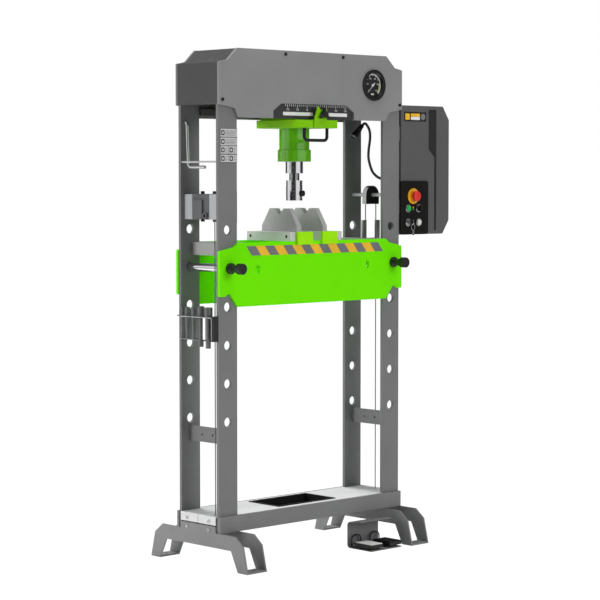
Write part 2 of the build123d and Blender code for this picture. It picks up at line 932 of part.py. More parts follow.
def carriage_slide():
    """T block that runs on the rails and carries the plate and the cylinder."""
    seat = rail_top + slide_rail_clearance
    web_half = rail_inner - slide_side_clearance
    left = work_x - slide_length / 2
    right = work_x + slide_length / 2
    block = slab((left, -web_half, carriage_top), (right, web_half, seat))
    top = seat + slide_flange_thickness
    block += slab((left, -slide_flange_width / 2, seat), (right, slide_flange_width / 2, top))
    fit = barrel_radius + barrel_fit
    return block - bar((work_x, 0, carriage_top - overrun), (work_x, 0, top + overrun), fit)


def pointer_bracket():
    """Front plate of the carriage with the scale pointer and the clamp's ear."""
    outline = [
        (-pointer_left, carriage_bottom), (pointer_right, carriage_bottom), (pointer_right, carriage_top),
        (pointer_ear_right, carriage_top), (pointer_ear_right, pointer_ear_top),
        (pointer_ear_left, pointer_ear_top), (0, pointer_tip_z), (-pointer_left, carriage_top),
    ]
    front = -carriage_front - pointer_thickness
    plate = across(outline, front, -carriage_front)
    return plate - bar((knob_x, front - overrun, knob_z), (knob_x, -carriage_front + overrun, knob_z),
                       knob_stud_radius + knob_stud_clearance)


def clamp_knob():
    """Winged knob whose stud bears on the scale plate."""
    front = -carriage_front - pointer_thickness
    tip = -frame_face - scale_plate_thickness - knob_stud_tip_gap
    hub_end = front - knob_hub_length
    knob = bar((knob_x, front, knob_z), (knob_x, hub_end, knob_z), knob_hub_radius)
    knob += bar((knob_x, tip, knob_z), (knob_x, front, knob_z), knob_stud_radius)
    middle = front - knob_hub_length / 2
    for wing in range(knob_wing_count):
        angle = math.radians(90 + 360 * wing / knob_wing_count)
        x = knob_x + knob_wing_length * math.cos(angle)
        z = knob_z + knob_wing_length * math.sin(angle)
        knob += cone((knob_x, middle, knob_z), (x, middle, z), knob_wing_root_radius, knob_wing_radius)
    return knob


def carriage_handle():
    """Bent bar under the carriage for pulling it along."""
    y = handle_inset - carriage_front
    low = carriage_bottom - handle_drop
    points = [(-handle_half_span, y, carriage_bottom), (-handle_half_span, y, low),
              (handle_half_span, y, low), (handle_half_span, y, carriage_bottom)]
    return wire_tube(points, handle_bend, handle_rod_radius)


def cylinder_barrel():
    """Cylinder tube with its closed top and the flange that seats on the slide."""
    flange_bottom = rail_top + slide_rail_clearance + slide_flange_thickness
    flange_top = flange_bottom + barrel_flange_thickness
    profile = [
        (bore_radius, barrel_bottom), (barrel_radius, barrel_bottom), (barrel_radius, flange_bottom),
        (barrel_flange_radius, flange_bottom), (barrel_flange_radius, flange_top),
        (barrel_radius, flange_top),
        (barrel_radius, barrel_top), (0, barrel_top), (0, barrel_top - barrel_cap_thickness),
        (bore_radius, barrel_top - barrel_cap_thickness),
    ]
    return turned(profile, Plane(origin=(work_x, 0, 0)))


def gland_collar():
    """Collar at the mouth of the cylinder that guides the rod."""
    profile = [
        (rod_radius + running_fit, collar_bottom), (collar_radius, collar_bottom),
        (collar_radius, barrel_bottom), (rod_radius + running_fit, barrel_bottom),
    ]
    return turned(profile, Plane(origin=(work_x, 0, 0)))


def piston_rod():
    """Piston, rod and the threaded neck at its lower end."""
    piston_radius = bore_radius - running_fit
    piston_bottom = piston_top - piston_height
    profile = [
        (0, chuck_top), (neck_radius, chuck_top), (neck_radius, rod_bottom), (rod_radius, rod_bottom),
        (rod_radius, piston_bottom), (piston_radius, piston_bottom),
        (piston_radius, piston_top), (0, piston_top),
    ]
    return turned(profile, Plane(origin=(work_x, 0, 0)))


def chuck_screw_axis():
    angle = math.radians(chuck_screw_angle)
    return Vector(math.cos(angle), math.sin(angle), 0)


def chuck():
    """Tool holder bored from below, with turned grooves and a tapped side hole."""
    bore_end = chuck_bottom + chuck_bore_depth
    holder = turned([
        (chuck_bore_radius, chuck_bottom), (chuck_radius, chuck_bottom), (chuck_radius, chuck_top),
        (0, chuck_top), (0, bore_end), (chuck_bore_radius, bore_end),
    ], Plane(origin=(work_x, 0, 0)))
    for share in chuck_groove_shares:
        low = (work_x, 0, chuck_bottom + chuck_height * share)
        high = (work_x, 0, chuck_bottom + chuck_height * share + chuck_groove_height)
        ring = bar(low, high, chuck_radius + overrun)
        ring -= bar(low, high, chuck_radius - chuck_groove_depth)
        holder -= ring
    out = chuck_screw_axis()
    middle = Vector(work_x, 0, chuck_bottom + chuck_screw_rise)
    start = middle + out * chuck_bore_radius / 2
    end = middle + out * (chuck_radius + overrun)
    return holder - bar(start, end, chuck_screw_radius + running_fit)


def chuck_screw():
    """Knurled screw that holds a tool in the chuck."""
    out = chuck_screw_axis()
    middle = Vector(work_x, 0, chuck_bottom + chuck_screw_rise)
    seat = middle + out * (chuck_radius + chuck_screw_tip_gap)
    tip = middle + out * (chuck_bore_radius + chuck_screw_tip_gap)
    head_end = seat + out * chuck_screw_head_length
    return bar(tip, seat, chuck_screw_radius) + bar(seat, head_end, chuck_screw_head_radius)


def winch_face():
    return winch_face_inset - half_frame


def winch_housing():
    """Gear housing of the winch, with the socket for the crank."""
    face = winch_face()
    top = winch_bottom + winch_height
    body = slab((face, -winch_housing_front, winch_bottom), (face + winch_depth, winch_housing_back, top))
    body += slab((face - winch_pad_thickness, winch_pad_front, winch_bottom),
                 (face, winch_pad_back, winch_bottom + winch_pad_height))
    boss_z = winch_bottom + winch_boss_rise
    mouth = face - winch_boss_length
    body += bar((mouth, winch_boss_y, boss_z), (face, winch_boss_y, boss_z), winch_boss_radius)
    socket = Plane(origin=(mouth - overrun, winch_boss_y, boss_z), z_dir=(1, 0, 0))
    hexagon = extrude(socket * RegularPolygon(winch_hex_radius, 6), winch_boss_length + winch_depth / 2)
    return body - hexagon


def winch_drum_covers():
    """Light covers over the two rope drums, either side of the gear housing."""
    face = winch_face()
    top = winch_bottom + winch_height
    covers = []
    for low, high in ((-half_gap, -winch_housing_front), (winch_housing_back, half_gap)):
        covers.append(slab((face, low, winch_bottom), (face + winch_depth, high, top)))
    return Compound(children=covers)


def winch_back_plate():
    """Dark plate behind the winch with corner lugs."""
    x_low = winch_face() + winch_depth
    x_high = x_low + winch_plate_thickness
    low = winch_bottom - winch_plate_overhang
    winch_top = winch_bottom + winch_height
    high = winch_top + winch_plate_overhang
    plate = slab((x_low, -half_gap, low), (x_high, half_gap, high))
    for z_low, z_high in ((low - overrun, winch_bottom), (winch_top, high + overrun)):
        for side in (-1, 1):
            y_low, y_high = sorted((side * winch_lug_inner, side * winch_lug_outer))
            plate -= slab((x_low - overrun, y_low, z_low), (x_high + overrun, y_high, z_high))
    return plate


def quarter(corner, start, end):
    """A rope's arc round a pulley, from one tangent point to the other."""
    a, b, c = Vector(*start), Vector(*end), Vector(*corner)
    centre = a + b - c
    middle = centre + (c - centre).normalized() * (a - centre).length
    return ThreePointArc(a, middle, b)


def lift_rope():
    """Rope from the winch under the base, over the right pulley and down to the bolster."""
    left = Vector(-rope_left_x, rope_left_y, 0)
    right = Vector(rope_right_x, 0, 0)
    along = (right - left).normalized() * base_pulley_radius
    low = Vector(0, 0, rope_base_z)
    turn = low + Vector(0, 0, base_pulley_radius)
    crown = Vector(0, 0, pulley_z)
    drum = left + Vector(0, 0, winch_bottom)
    ends = [drum, left + turn, left + low + along, right + low - along, right + turn, right + crown]
    over = Vector(pulley_x, 0, pulley_z + pulley_radius)
    finish = Vector(rope_end_x, 0, bolster_top)
    runs = [
        Line(ends[0], ends[1]),
        quarter(left + low, ends[1], ends[2]),
        Line(ends[2], ends[3]),
        quarter(right + low, ends[3], ends[4]),
        Line(ends[4], ends[5]),
        ThreePointArc(ends[5], over, Vector(rope_end_x, 0, pulley_z)),
        Line(Vector(rope_end_x, 0, pulley_z), finish),
    ]
    seat = Plane(origin=drum, z_dir=(0, 0, -1))
    return sweep(seat * Circle(rope_radius), path=Wire(runs))


def pulley_places():
    """Centre, rope radius and axle radius of each of the three pulleys."""
    z = rope_base_z + base_pulley_radius
    return (
        ((pulley_x, 0, pulley_z), pulley_radius, axle_radius),
        ((base_pulley_radius - rope_left_x, rope_left_y, z), base_pulley_radius, base_axle_radius),
        ((rope_right_x - base_pulley_radius, 0, z), base_pulley_radius, base_axle_radius),
    )


def rope_pulley(centre, radius, axle):
    """Grooved pulley on an axle that runs front to back."""
    floor = radius - rope_radius - pulley_rope_clearance
    rim = radius + pulley_flange
    half = pulley_width / 2
    groove = pulley_groove_width / 2
    fit = axle + running_fit
    profile = [(fit, -half), (rim, -half), (rim, -groove), (floor, -groove),
               (floor, groove), (rim, groove), (rim, half), (fit, half)]
    return turned(profile, Plane(origin=centre, x_dir=(1, 0, 0), z_dir=(0, -1, 0)))


def rope_pulleys():
    return Compound(children=[rope_pulley(*place) for place in pulley_places()])


def pulley_cheeks():
    inner = pulley_width / 2 + pulley_side_clearance
    return inner, inner + pulley_case_wall


def top_pulley_case():
    """Arched case round the upper pulley, open below for the rope."""
    inner, outer = pulley_cheeks()
    cavity = pulley_radius + pulley_flange + pulley_case_gap
    shell = cavity + pulley_case_wall
    low = pulley_z - shell
    case = bar((pulley_x, -outer, pulley_z), (pulley_x, outer, pulley_z), shell)
    case += slab((pulley_x - shell, -outer, low), (pulley_x + shell, outer, pulley_z))
    case -= bar((pulley_x, -inner, pulley_z), (pulley_x, inner, pulley_z), cavity)
    case -= slab((pulley_x - cavity, -inner, low - overrun), (pulley_x + cavity, inner, pulley_z))
    return case - bar((pulley_x, -outer - overrun, pulley_z), (pulley_x, outer + overrun, pulley_z),
                      axle_radius + running_fit)


def base_pulley_clevis(centre, radius):
    """Two cheeks under the deck, joined at the top, that hold a base pulley."""
    inner, outer = pulley_cheeks()
    x, y, z = centre
    half = radius / 2
    clevis = slab((x - half, y - outer, z - half), (x + half, y + outer, deck_bottom))
    cut = half + overrun
    clevis -= slab((x - cut, y - inner, z - cut), (x + cut, y + inner, deck_bottom))
    reach = outer + overrun
    return clevis - bar((x, y - reach, z), (x, y + reach, z), base_axle_radius + running_fit)


def pulley_cases():
    cases = [top_pulley_case()]
    for centre, radius, axle in pulley_places()[1:]:
        cases += base_pulley_clevis(centre, radius).solids()
    return Compound(children=cases)


def cross_rods():
    """Pulley axles, and the thin rod that keeps the crank in place."""
    _, outer = pulley_cheeks()
    rods = []
    for (x, y, z), radius, axle in pulley_places():
        reach = half_gap if axle == axle_radius else outer
        rods.append(bar((x, y - reach, z), (x, y + reach, z), axle))
    x = retainer_inset - half_frame
    rods.append(bar((x, -half_gap, retainer_z), (x, half_gap, retainer_z), retainer_radius))
    return Compound(children=rods)


def crank_handle():
    """Bent crank hung by its end in the rear upright."""
    x = -crank_x
    points = [(x, frame_face + crank_tail, crank_top), (x, crank_top_y, crank_top),
              (x, crank_bottom_y, crank_bottom), (x, crank_bottom_y - crank_handle_reach, crank_bottom)]
    return wire_tube(points, crank_bend, crank_radius)


def tool_rack():
    """Bracket and two wires that hold the punches, and a low shelf some of them stand on."""
    bracket = slab((-half_frame - rack_reach, -frame_face, rack_bottom),
                   (-half_frame, rack_bracket_thickness - frame_face, rack_top))
    outer = -rack_axis - rack_wire_half_spacing
    inner = rack_wire_half_spacing - rack_axis
    back = (half_gap + frame_face) / 2
    front = -half_gap - overrun
    z = rack_wire_z
    points = [(outer, front, z), (outer, back, z), (-half_frame, back, z)]
    bracket += wire_tube(points, rack_wire_bend, rack_wire_radius)
    guard = bar((inner, -half_gap, z), (inner, half_gap, z), rack_wire_radius)
    low = shelf_top - shelf_thickness
    wire_z = low - rack_wire_radius + shelf_sink
    x_low = -rack_axis - shelf_half_width
    x_high = inner + rack_wire_radius
    shelf = slab((x_low, shelf_front, low), (x_high, shelf_back, shelf_top))
    shelf += bar((inner, -half_gap, wire_z), (inner, half_gap, wire_z), rack_wire_radius)
    return Compound(children=[bracket, guard, shelf])


def punch(index):
    """Press punch that hangs by its collar on the rack's wires or stands on the shelf."""
    seat = rack_wire_z + rack_wire_radius + punch_seat_gap
    bottom = shelf_top if index < standing_count else seat - punch_drops[index]
    top = seat + punch_collar_heights[index]
    tip_end = bottom + punch_tip_height
    tip = punch_tip_radii[index]
    shank = punch_shank_radii[index]
    collar = punch_collar_radii[index]
    profile = [
        (0, bottom), (tip, bottom), (tip, tip_end), (shank, tip_end), (shank, seat),
        (collar, seat), (collar, top), (0, top),
    ]
    return turned(profile, Plane(origin=(-rack_axis, half_gap * punch_shares[index], 0)))


def punches():
    return Compound(children=[punch(index) for index in range(len(punch_shares))])


def lamp_head_back():
    return Vector(half_frame - lamp_head_inset, lamp_head_y, lamp_head_z)


def lamp_arm():
    """Flexible metal hose of the lamp, on a round base behind the front right upright."""
    base_x = half_frame - lamp_base_inset
    base_end = lamp_base_length - half_gap
    points = [(base_x, base_end, lamp_base_z)]
    for inset, y, z in zip(lamp_route_insets, lamp_route_y, lamp_route_z):
        points.append((half_frame - inset, y, z))
    back = lamp_head_back()
    lead = Vector(*lamp_head_forward).normalized() * lamp_arm_lead
    points += [tuple(back - lead), tuple(back)]
    places = [Vector(*point) for point in points]
    radii = []
    for before, here, after in zip(places, places[1:], places[2:]):
        turn = math.radians((here - before).get_angle(after - here))
        shorter = min((here - before).length, (after - here).length)
        radii.append(bend_share * shorter / math.tan(turn / 2))
    base = bar((base_x, -half_gap, lamp_base_z), (base_x, base_end, lamp_base_z), lamp_base_radius)
    return wire_tube(points, radii, lamp_arm_radius) + base


def lamp_head():
    """Conical lamp head, hollow at its mouth."""
    back = lamp_head_back()
    front = back + Vector(*lamp_head_forward)
    shell = cone(back, front, lamp_neck_radius, lamp_head_radius)
    mouth = front + (back - front).normalized() * lamp_lens_depth
    return shell - bar(mouth, front, lamp_head_radius - lamp_head_wall)


def cabinet_outline(left, inset):
    right = cabinet_right - inset
    return [
        (left, cabinet_bottom + inset), (right - cover_chamfer_run, cabinet_bottom + inset),
        (right, cabinet_bottom + inset + cover_chamfer_rise),
        (right, cabinet_top - inset - cover_chamfer_rise),
        (right - cover_chamfer_run, cabinet_top - inset), (left, cabinet_top - inset),
    ]


def cabinet_column(inset, low, high):
    """Upright block of the cabinet's plan, which slants at its inner rear corner."""
    plan = make_face(Polyline(
        (cabinet_left, cabinet_front), (cabinet_right, cabinet_front), (cabinet_right, cabinet_back),
        (cabinet_left + cabinet_slant_run, cabinet_back), (cabinet_left, cabinet_slant_start), close=True))
    if inset > 0:
        plan = offset(plan, -inset, kind=Kind.INTERSECTION)
    return Pos(0, 0, low) * extrude(plan, high - low, dir=(0, 0, 1))


def cabinet_shell():
    """Rear half of the cabinet, a deep tray with two lugs on the front upright."""
    shell = across(cabinet_outline(cabinet_left, 0), cabinet_split, cabinet_back)
    shell &= cabinet_column(0, cabinet_bottom, cabinet_top)
    hollow = across(cabinet_outline(cabinet_left + cabinet_wall, cabinet_wall),
                    cabinet_split - overrun, cabinet_back - cabinet_wall)
    hollow &= cabinet_column(cabinet_wall, cabinet_bottom, cabinet_top)
    shell -= hollow
    low = cabinet_bottom + cabinet_lug_inset
    high = cabinet_top - cabinet_lug_inset - cabinet_lug_height
    for z in (low, high):
        shell += slab((half_frame, -frame_face, z), (cabinet_left, cabinet_split, z + cabinet_lug_height))
        shell += slab((cabinet_left, -frame_face, z),
                      (cabinet_left + cabinet_wall, cabinet_split, z + cabinet_lug_height))
    return shell


def channel_outline(grow):
    """Narrowing channel in the cover's face as (x, z) points."""
    left = cabinet_left + channel_left_run - grow
    neck = cabinet_left + channel_neck_run - grow
    right = cabinet_left + channel_right_run + grow
    top = cabinet_top - channel_end_gap + grow
    foot = cabinet_bottom + channel_end_gap - grow
    return [(neck, foot), (right, foot), (right, top), (left, top), (left, channel_bend_high - grow),
            (neck, channel_bend_low - grow)]


def cabinet_cover():
    """Front cover of the cabinet with its pressed channel and the cut-out for the panel."""
    cover = across(cabinet_outline(cover_left, 0), cabinet_front, cabinet_split)
    inside = cabinet_front + cabinet_wall
    cover -= across(cabinet_outline(cover_left + cabinet_wall, cabinet_wall), inside, cabinet_split + overrun)
    floor_y = cabinet_front + channel_depth
    cover += across(channel_outline(cabinet_wall), cabinet_front, floor_y + cabinet_wall)
    cover -= across(channel_outline(0), cabinet_front - overrun, floor_y)
    return cover - slab((cabinet_left - overrun, cabinet_front - overrun, cabinet_bottom - overrun),
                        (panel_right, inside + overrun, panel_top))


def button_places():
    return ((button_left_x, button_upper_z), (button_right_x, button_upper_z),
            (button_left_x, button_lower_z), (button_right_x, button_lower_z))


def control_panel():
    """Switch panel with the warning disc and four bezel rings, bored for the stems."""
    back = panel_face + panel_thickness
    panel = slab((cabinet_left, panel_face, cabinet_bottom), (panel_right, back, panel_top))
    panel = fillet(panel.edges().filter_by(Axis.Y), panel_fillet)
    panel += bar((estop_x, panel_face, estop_z), (estop_x, panel_face - estop_disc_thickness, estop_z),
                 estop_disc_radius)
    for x, z in button_places():
        panel += bar((x, panel_face, z), (x, panel_face - ring_thickness, z), ring_radius)
        panel -= bar((x, panel_face - ring_thickness - overrun, z), (x, back + overrun, z),
                     button_radius + button_clearance)
    return panel - bar((estop_x, panel_face - estop_disc_thickness - overrun, estop_z),
                       (estop_x, back + overrun, estop_z), estop_stem_radius + button_clearance)


def estop_button():
    """Mushroom head on its stem."""
    under = panel_face - estop_stand
    back = panel_face + button_stem_length
    stem = bar((estop_x, back, estop_z), (estop_x, under, estop_z), estop_stem_radius)
    top = under - estop_head_height
    head = bar((estop_x, under, estop_z), (estop_x, top, estop_z), estop_head_radius)
    edge = head.edges().filter_by(GeomType.CIRCLE).sort_by(Axis.Y)[0]
    return stem + fillet(edge, estop_head_height / 2)


def push_button(x, z):
    """Flat push button that stands out of its ring."""
    return bar((x, panel_face + button_stem_length, z), (x, panel_face - button_stand, z), button_radius)


def selector_knob():
    """Rotary selector with a grip blade."""
    x, z = button_right_x, button_upper_z
    face = panel_face - button_stand
    body = bar((x, panel_face + button_stem_length, z), (x, face, z), selector_radius)
    front = face - selector_blade_height
    half = selector_blade_width / 2
    return body + slab((x - half, front, z - selector_radius), (x + half, face, z + selector_radius))


def key_switch():
    """Lock barrel with its key."""
    x, z = button_left_x, button_lower_z
    face = panel_face - button_stand
    body = bar((x, panel_face + button_stem_length, z), (x, face, z), button_radius)
    half = key_blade_width / 2
    neck = face - key_blade_length
    blade = slab((x - half, neck, z - key_bow_radius / 2), (x + half, face, z + key_bow_radius / 2))
    bow = bar((x - half, neck, z), (x + half, neck, z), key_bow_radius)
    return body + blade + bow


def hydraulic_unit():
    """Oil tank with the motor and pump standing on it."""
    low = cabinet_bottom + cabinet_wall
    top = low + tank_height
    room = slab((cabinet_left, cabinet_split, low),
                (cabinet_right - cover_chamfer_run - pack_clearance, cabinet_back, top))
    tank = cabinet_column(pack_clearance, low, top) & room
    x = cabinet_left + motor_x_run
    return tank + bar((x, motor_y, top), (x, motor_y, top + motor_height), motor_radius)


def pedal_housing():
    """Bent sheet of the pedal unit, open at both ends, with the shaft on a block between the pedals."""
    right = pedal_left_x + pedal_unit_width
    inside = pedal_back_y - hood_wall
    roof_front = pedal_back_y - hood_roof_depth
    lip = hood_height + hood_rise
    outline = [(pedal_front_y, 0), (pedal_back_y, 0), (pedal_back_y, hood_height), (roof_front, lip),
               (roof_front, lip - hood_wall), (inside, hood_height - hood_wall),
               (inside, hood_wall), (pedal_front_y, hood_wall)]
    sheet = lengthwise(outline, pedal_left_x, right)
    inner_bends = sheet.edges().filter_by(Axis.X).sort_by(Axis.Y)[-4:-2]
    sheet = fillet(inner_bends, hood_bend - hood_wall)
    outer_bends = sheet.edges().filter_by(Axis.X).sort_by(Axis.Y)[-2:]
    sheet = fillet(outer_bends, hood_bend)
    left_end, _ = pedal_span(1)
    _, right_end = pedal_span(0)
    y, z = pedal_pivot_y, pedal_pivot_z
    block = slab((right_end + pedal_block_clearance, y - pedal_hub_radius, 0),
                 (left_end - pedal_block_clearance, y + pedal_hub_radius, z + pedal_hub_radius))
    return sheet + block + bar((pedal_left_x, y, z), (right, y, z), pedal_shaft_radius)


def pedal_span(index):
    """Left and right ends of a pedal; the outer ends are flush with the sheet."""
    width = (pedal_unit_width - pedal_gap) / 2
    left = pedal_left_x + index * (width + pedal_gap)
    return left, left + width


def pedal(index):
    """Treadle that turns on the shaft."""
    left, right = pedal_span(index)
    y, z = pedal_pivot_y, pedal_pivot_z
    front = pedal_front_y + pedal_setback
    low = pedal_top - pedal_thickness
    outline = [(y, z - pedal_hub_radius), (front, low), (front, pedal_top), (y, pedal_top)]
    plate = lengthwise(outline, left, right)
    plate += bar((left, y, z), (right, y, z), pedal_hub_radius)
    fit = pedal_shaft_radius + pedal_fit
    return plate - bar((left - overrun, y, z), (right + overrun, y, z), fit)


def pedal_cables():
    """A short lead looped behind each pedal."""
    loops = []
    y = pedal_back_y - pedal_cable_back
    for index in (0, 1):
        middle = sum(pedal_span(index)) / 2
        left = middle - pedal_cable_span / 2
        right = middle + pedal_cable_span / 2
        points = [(left, y, hood_wall), (left, y, pedal_cable_height),
                  (right, y, pedal_cable_height), (right, y, hood_wall)]
        loops.append(wire_tube(points, pedal_cable_bend, pedal_cable_radius))
    return Compound(children=loops)


parts = {
    "uprights": uprights(),
    "head_front_plate": head_front_plate(),
    "head_rear_plate": head_rear_plate(),
    "head_cover": head_cover(),
    "carriage_rails": carriage_rails(),
    "scale_plate": scale_plate(),
    "gauge_case": gauge_case(),
    "gauge_glass": gauge_glass(),
    "gauge_needle": gauge_needle(),
    "base_beams": base_beams(),
    "deck_sheets": deck_sheets(),
    "bin_tray": bin_tray(),
    "feet": feet(),
    "lower_braces": lower_braces(),
    "frame_bolts": frame_bolts(),
    "bolster_front_plate": bolster_plate(-beam_face, -frame_face),
    "bolster_rear_plate": bolster_plate(frame_face, beam_face),
    "bolster_guides": bolster_guides(),
    "stop_tabs": stop_tabs(),
    "press_bars": press_bars(),
    "v_blocks": v_blocks(),
    "pin_left": pin(-1),
    "pin_right": pin(1),
    "pin_grip_left": pin_grip(-1),
    "pin_grip_right": pin_grip(1),
    "carriage_plate": carriage_plate(),
    "carriage_slide": carriage_slide(),
    "pointer_bracket": pointer_bracket(),
    "clamp_knob": clamp_knob(),
    "carriage_handle": carriage_handle(),
    "cylinder_barrel": cylinder_barrel(),
    "gland_collar": gland_collar(),
    "piston_rod": piston_rod(),
    "chuck": chuck(),
    "chuck_screw": chuck_screw(),
    "winch_housing": winch_housing(),
    "winch_drum_covers": winch_drum_covers(),
    "winch_back_plate": winch_back_plate(),
    "lift_rope": lift_rope(),
    "rope_pulleys": rope_pulleys(),
    "pulley_cases": pulley_cases(),
    "cross_rods": cross_rods(),
    "crank_handle": crank_handle(),
    "tool_rack": tool_rack(),
    "punches": punches(),
    "lamp_arm": lamp_arm(),
    "lamp_head": lamp_head(),
    "cabinet_shell": cabinet_shell(),
    "cabinet_cover": cabinet_cover(),
    "control_panel": control_panel(),
    "estop_button": estop_button(),
    "start_button": push_button(button_left_x, button_upper_z),
    "jog_button": push_button(button_right_x, button_lower_z),
    "selector_knob": selector_knob(),
    "key_switch": key_switch(),
    "hydraulic_unit": hydraulic_unit(),
    "pedal_housing": pedal_housing(),
    "pedal_left": pedal(0),
    "pedal_right": pedal(1),
    "pedal_cables": pedal_cables(),
}

os.makedirs("parts", exist_ok=True)
for name, shape in parts.items():
    export_step(shape, f"parts/{name}.step")
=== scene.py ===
import bmesh
import bpy
import json
import math
from mathutils import Matrix, Vector


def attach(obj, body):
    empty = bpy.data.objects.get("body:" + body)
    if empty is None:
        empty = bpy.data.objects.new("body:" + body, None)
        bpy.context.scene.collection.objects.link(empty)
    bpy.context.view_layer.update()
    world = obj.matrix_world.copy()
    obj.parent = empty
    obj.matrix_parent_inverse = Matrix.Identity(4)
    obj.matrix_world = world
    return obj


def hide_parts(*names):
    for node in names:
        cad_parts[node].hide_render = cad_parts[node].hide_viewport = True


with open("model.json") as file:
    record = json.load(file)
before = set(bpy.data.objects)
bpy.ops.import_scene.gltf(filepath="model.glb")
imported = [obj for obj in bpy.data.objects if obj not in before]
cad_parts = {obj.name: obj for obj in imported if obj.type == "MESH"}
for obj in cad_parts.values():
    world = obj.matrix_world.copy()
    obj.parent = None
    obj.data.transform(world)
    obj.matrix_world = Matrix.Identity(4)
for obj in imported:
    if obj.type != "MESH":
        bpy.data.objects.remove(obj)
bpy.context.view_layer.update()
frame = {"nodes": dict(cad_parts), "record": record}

MM = 0.001
FRONT = Vector((0, -1, 0))
UP = Vector((0, 0, 1))
SHARP_ANGLE = math.radians(30)
EDGE_ANGLE = math.radians(35)
FLAT_ANGLE = math.radians(0.6)
EDGE_SEGMENTS = 2
CORNER_STEPS = 4
WELD = 0.01
# Depths of the bumps in paint and in bare or moulded surfaces, in metres
COAT_DEPTH = 0.0006
GRAIN_DEPTH = 0.0004
body_of = {node: body for body, nodes in frame["record"]["behaviour"]["bodies"].items() for node in nodes}


def linear(r, g, b):
    """Linear colour from sRGB numbers of 0 to 255."""
    out = []
    for c in (r, g, b):
        c /= 255
        out.append(c / 12.92 if c <= 0.04045 else ((c + 0.055) / 1.055) ** 2.4)
    return (*out, 1)


def shade(colour, factor):
    return (*[min(1, c * factor) for c in colour[:3]], 1)


# Materials

class Nodes:
    """A material's node tree with short calls to add to it."""

    def __init__(self, name):
        self.material = bpy.data.materials.new(name)
        self.material.use_nodes = True
        self.tree = self.material.node_tree
        self.shader = self.tree.nodes["Principled BSDF"]
        self.place = self.add("ShaderNodeTexCoord").outputs["Object"]

    def add(self, kind, links=None, **settings):
        node = self.tree.nodes.new(kind)
        for key, value in settings.items():
            setattr(node, key, value)
        for key, value in (links or {}).items():
            socket = node.inputs[key]
            if isinstance(value, bpy.types.NodeSocket):
                self.tree.links.new(value, socket)
            else:
                socket.default_value = value
        return node

    def noise(self, scale, detail=2.0, stretch=None):
        place = self.place
        if stretch:
            place = self.add("ShaderNodeMapping", {"Vector": place, "Scale": stretch}).outputs["Vector"]
        links = {"Vector": place, "Scale": scale, "Detail": detail}
        return self.add("ShaderNodeTexNoise", links).outputs["Fac"]

    def spread(self, value, low, high, start=0.3, end=0.7):
        links = {"Value": value, "From Min": start, "From Max": end, "To Min": low, "To Max": high}
        return self.add("ShaderNodeMapRange", links).outputs["Result"]

    def mix(self, factor, first, second):
        node = self.add("ShaderNodeMix", data_type="RGBA")
        for socket, value in zip((node.inputs[0], node.inputs[6], node.inputs[7]), (factor, first, second)):
            if isinstance(value, bpy.types.NodeSocket):
                self.tree.links.new(value, socket)
            else:
                socket.default_value = value
        return node.outputs[2]

    def bump(self, height, strength, distance):
        links = {"Height": height, "Strength": strength, "Distance": distance}
        self.feed("Normal", self.add("ShaderNodeBump", links).outputs["Normal"])

    def drift(self, factor, colour, vary):
        """Feeds a base colour that drifts from a darker to a lighter tone."""
        self.feed("Base Color", self.mix(factor, shade(colour, 1 - vary), shade(colour, 1 + vary)))

    def feed(self, socket, value):
        target = self.shader.inputs[socket]
        if isinstance(value, bpy.types.NodeSocket):
            self.tree.links.new(value, target)
        else:
            target.default_value = value


def paint(name, colour, rough, grain=700, grain_strength=0.18, vary=0.07, gloss=0.3):
    """Powder coat or lacquer: faint clouds of tone, a fine pebbled skin, and scuffs that change the gloss."""
    n = Nodes(name)
    n.drift(n.spread(n.noise(4, 4), 0, 1), colour, vary)
    n.feed("Roughness", n.spread(n.noise(30, 5), rough - 0.06, rough + 0.08))
    n.feed("Specular IOR Level", gloss)
    n.bump(n.noise(grain, 3), grain_strength, COAT_DEPTH)
    return n.material


def steel(name, colour, rough, stretch=None, scale=60, vary=0.12, strength=0.06, metal=1.0):
    """Bare metal with the fine lines of its machining."""
    n = Nodes(name)
    lines = n.noise(scale, 6, stretch)
    n.drift(n.spread(lines, 0, 1), colour, vary)
    n.feed("Metallic", metal)
    n.feed("Roughness", n.spread(lines, rough - 0.05, rough + 0.07))
    n.bump(lines, strength, GRAIN_DEPTH)
    return n.material


def plastic(name, colour, rough, grain=1200, strength=0.1, vary=0.06):
    """Moulded plastic with a fine spark-eroded grain."""
    n = Nodes(name)
    n.drift(n.spread(n.noise(25, 3), 0, 1), colour, vary)
    n.feed("Roughness", n.spread(n.noise(90, 3), rough - 0.05, rough + 0.06))
    n.bump(n.noise(grain, 2), strength, GRAIN_DEPTH)
    return n.material


def ink(name, colour, rough):
    """Smooth printed colour."""
    return plastic(name, colour, rough, grain=1500, strength=0.03, vary=0.03)


def rope_steel():
    """Strands that wind round the lift rope."""
    n = Nodes("rope_steel")
    mapped = n.add("ShaderNodeMapping", {"Vector": n.place, "Rotation": (0, 0.6, 0.6)}).outputs["Vector"]
    wave = n.add("ShaderNodeTexWave", {"Vector": mapped, "Scale": 110.0, "Distortion": 0.6}).outputs["Fac"]
    n.feed("Base Color", n.mix(wave, linear(70, 70, 72), linear(165, 165, 168)))
    n.feed("Metallic", 0.8)
    n.feed("Roughness", 0.42)
    n.bump(wave, 0.6, 0.001)
    return n.material


def clear_glass():
    """The gauge's window."""
    n = Nodes("clear_glass")
    n.feed("Base Color", (1, 1, 1, 1))
    n.feed("Transmission Weight", 1.0)
    n.feed("IOR", 1.15)
    n.feed("Roughness", n.spread(n.noise(60, 2), 0.0, 0.03))
    return n.material


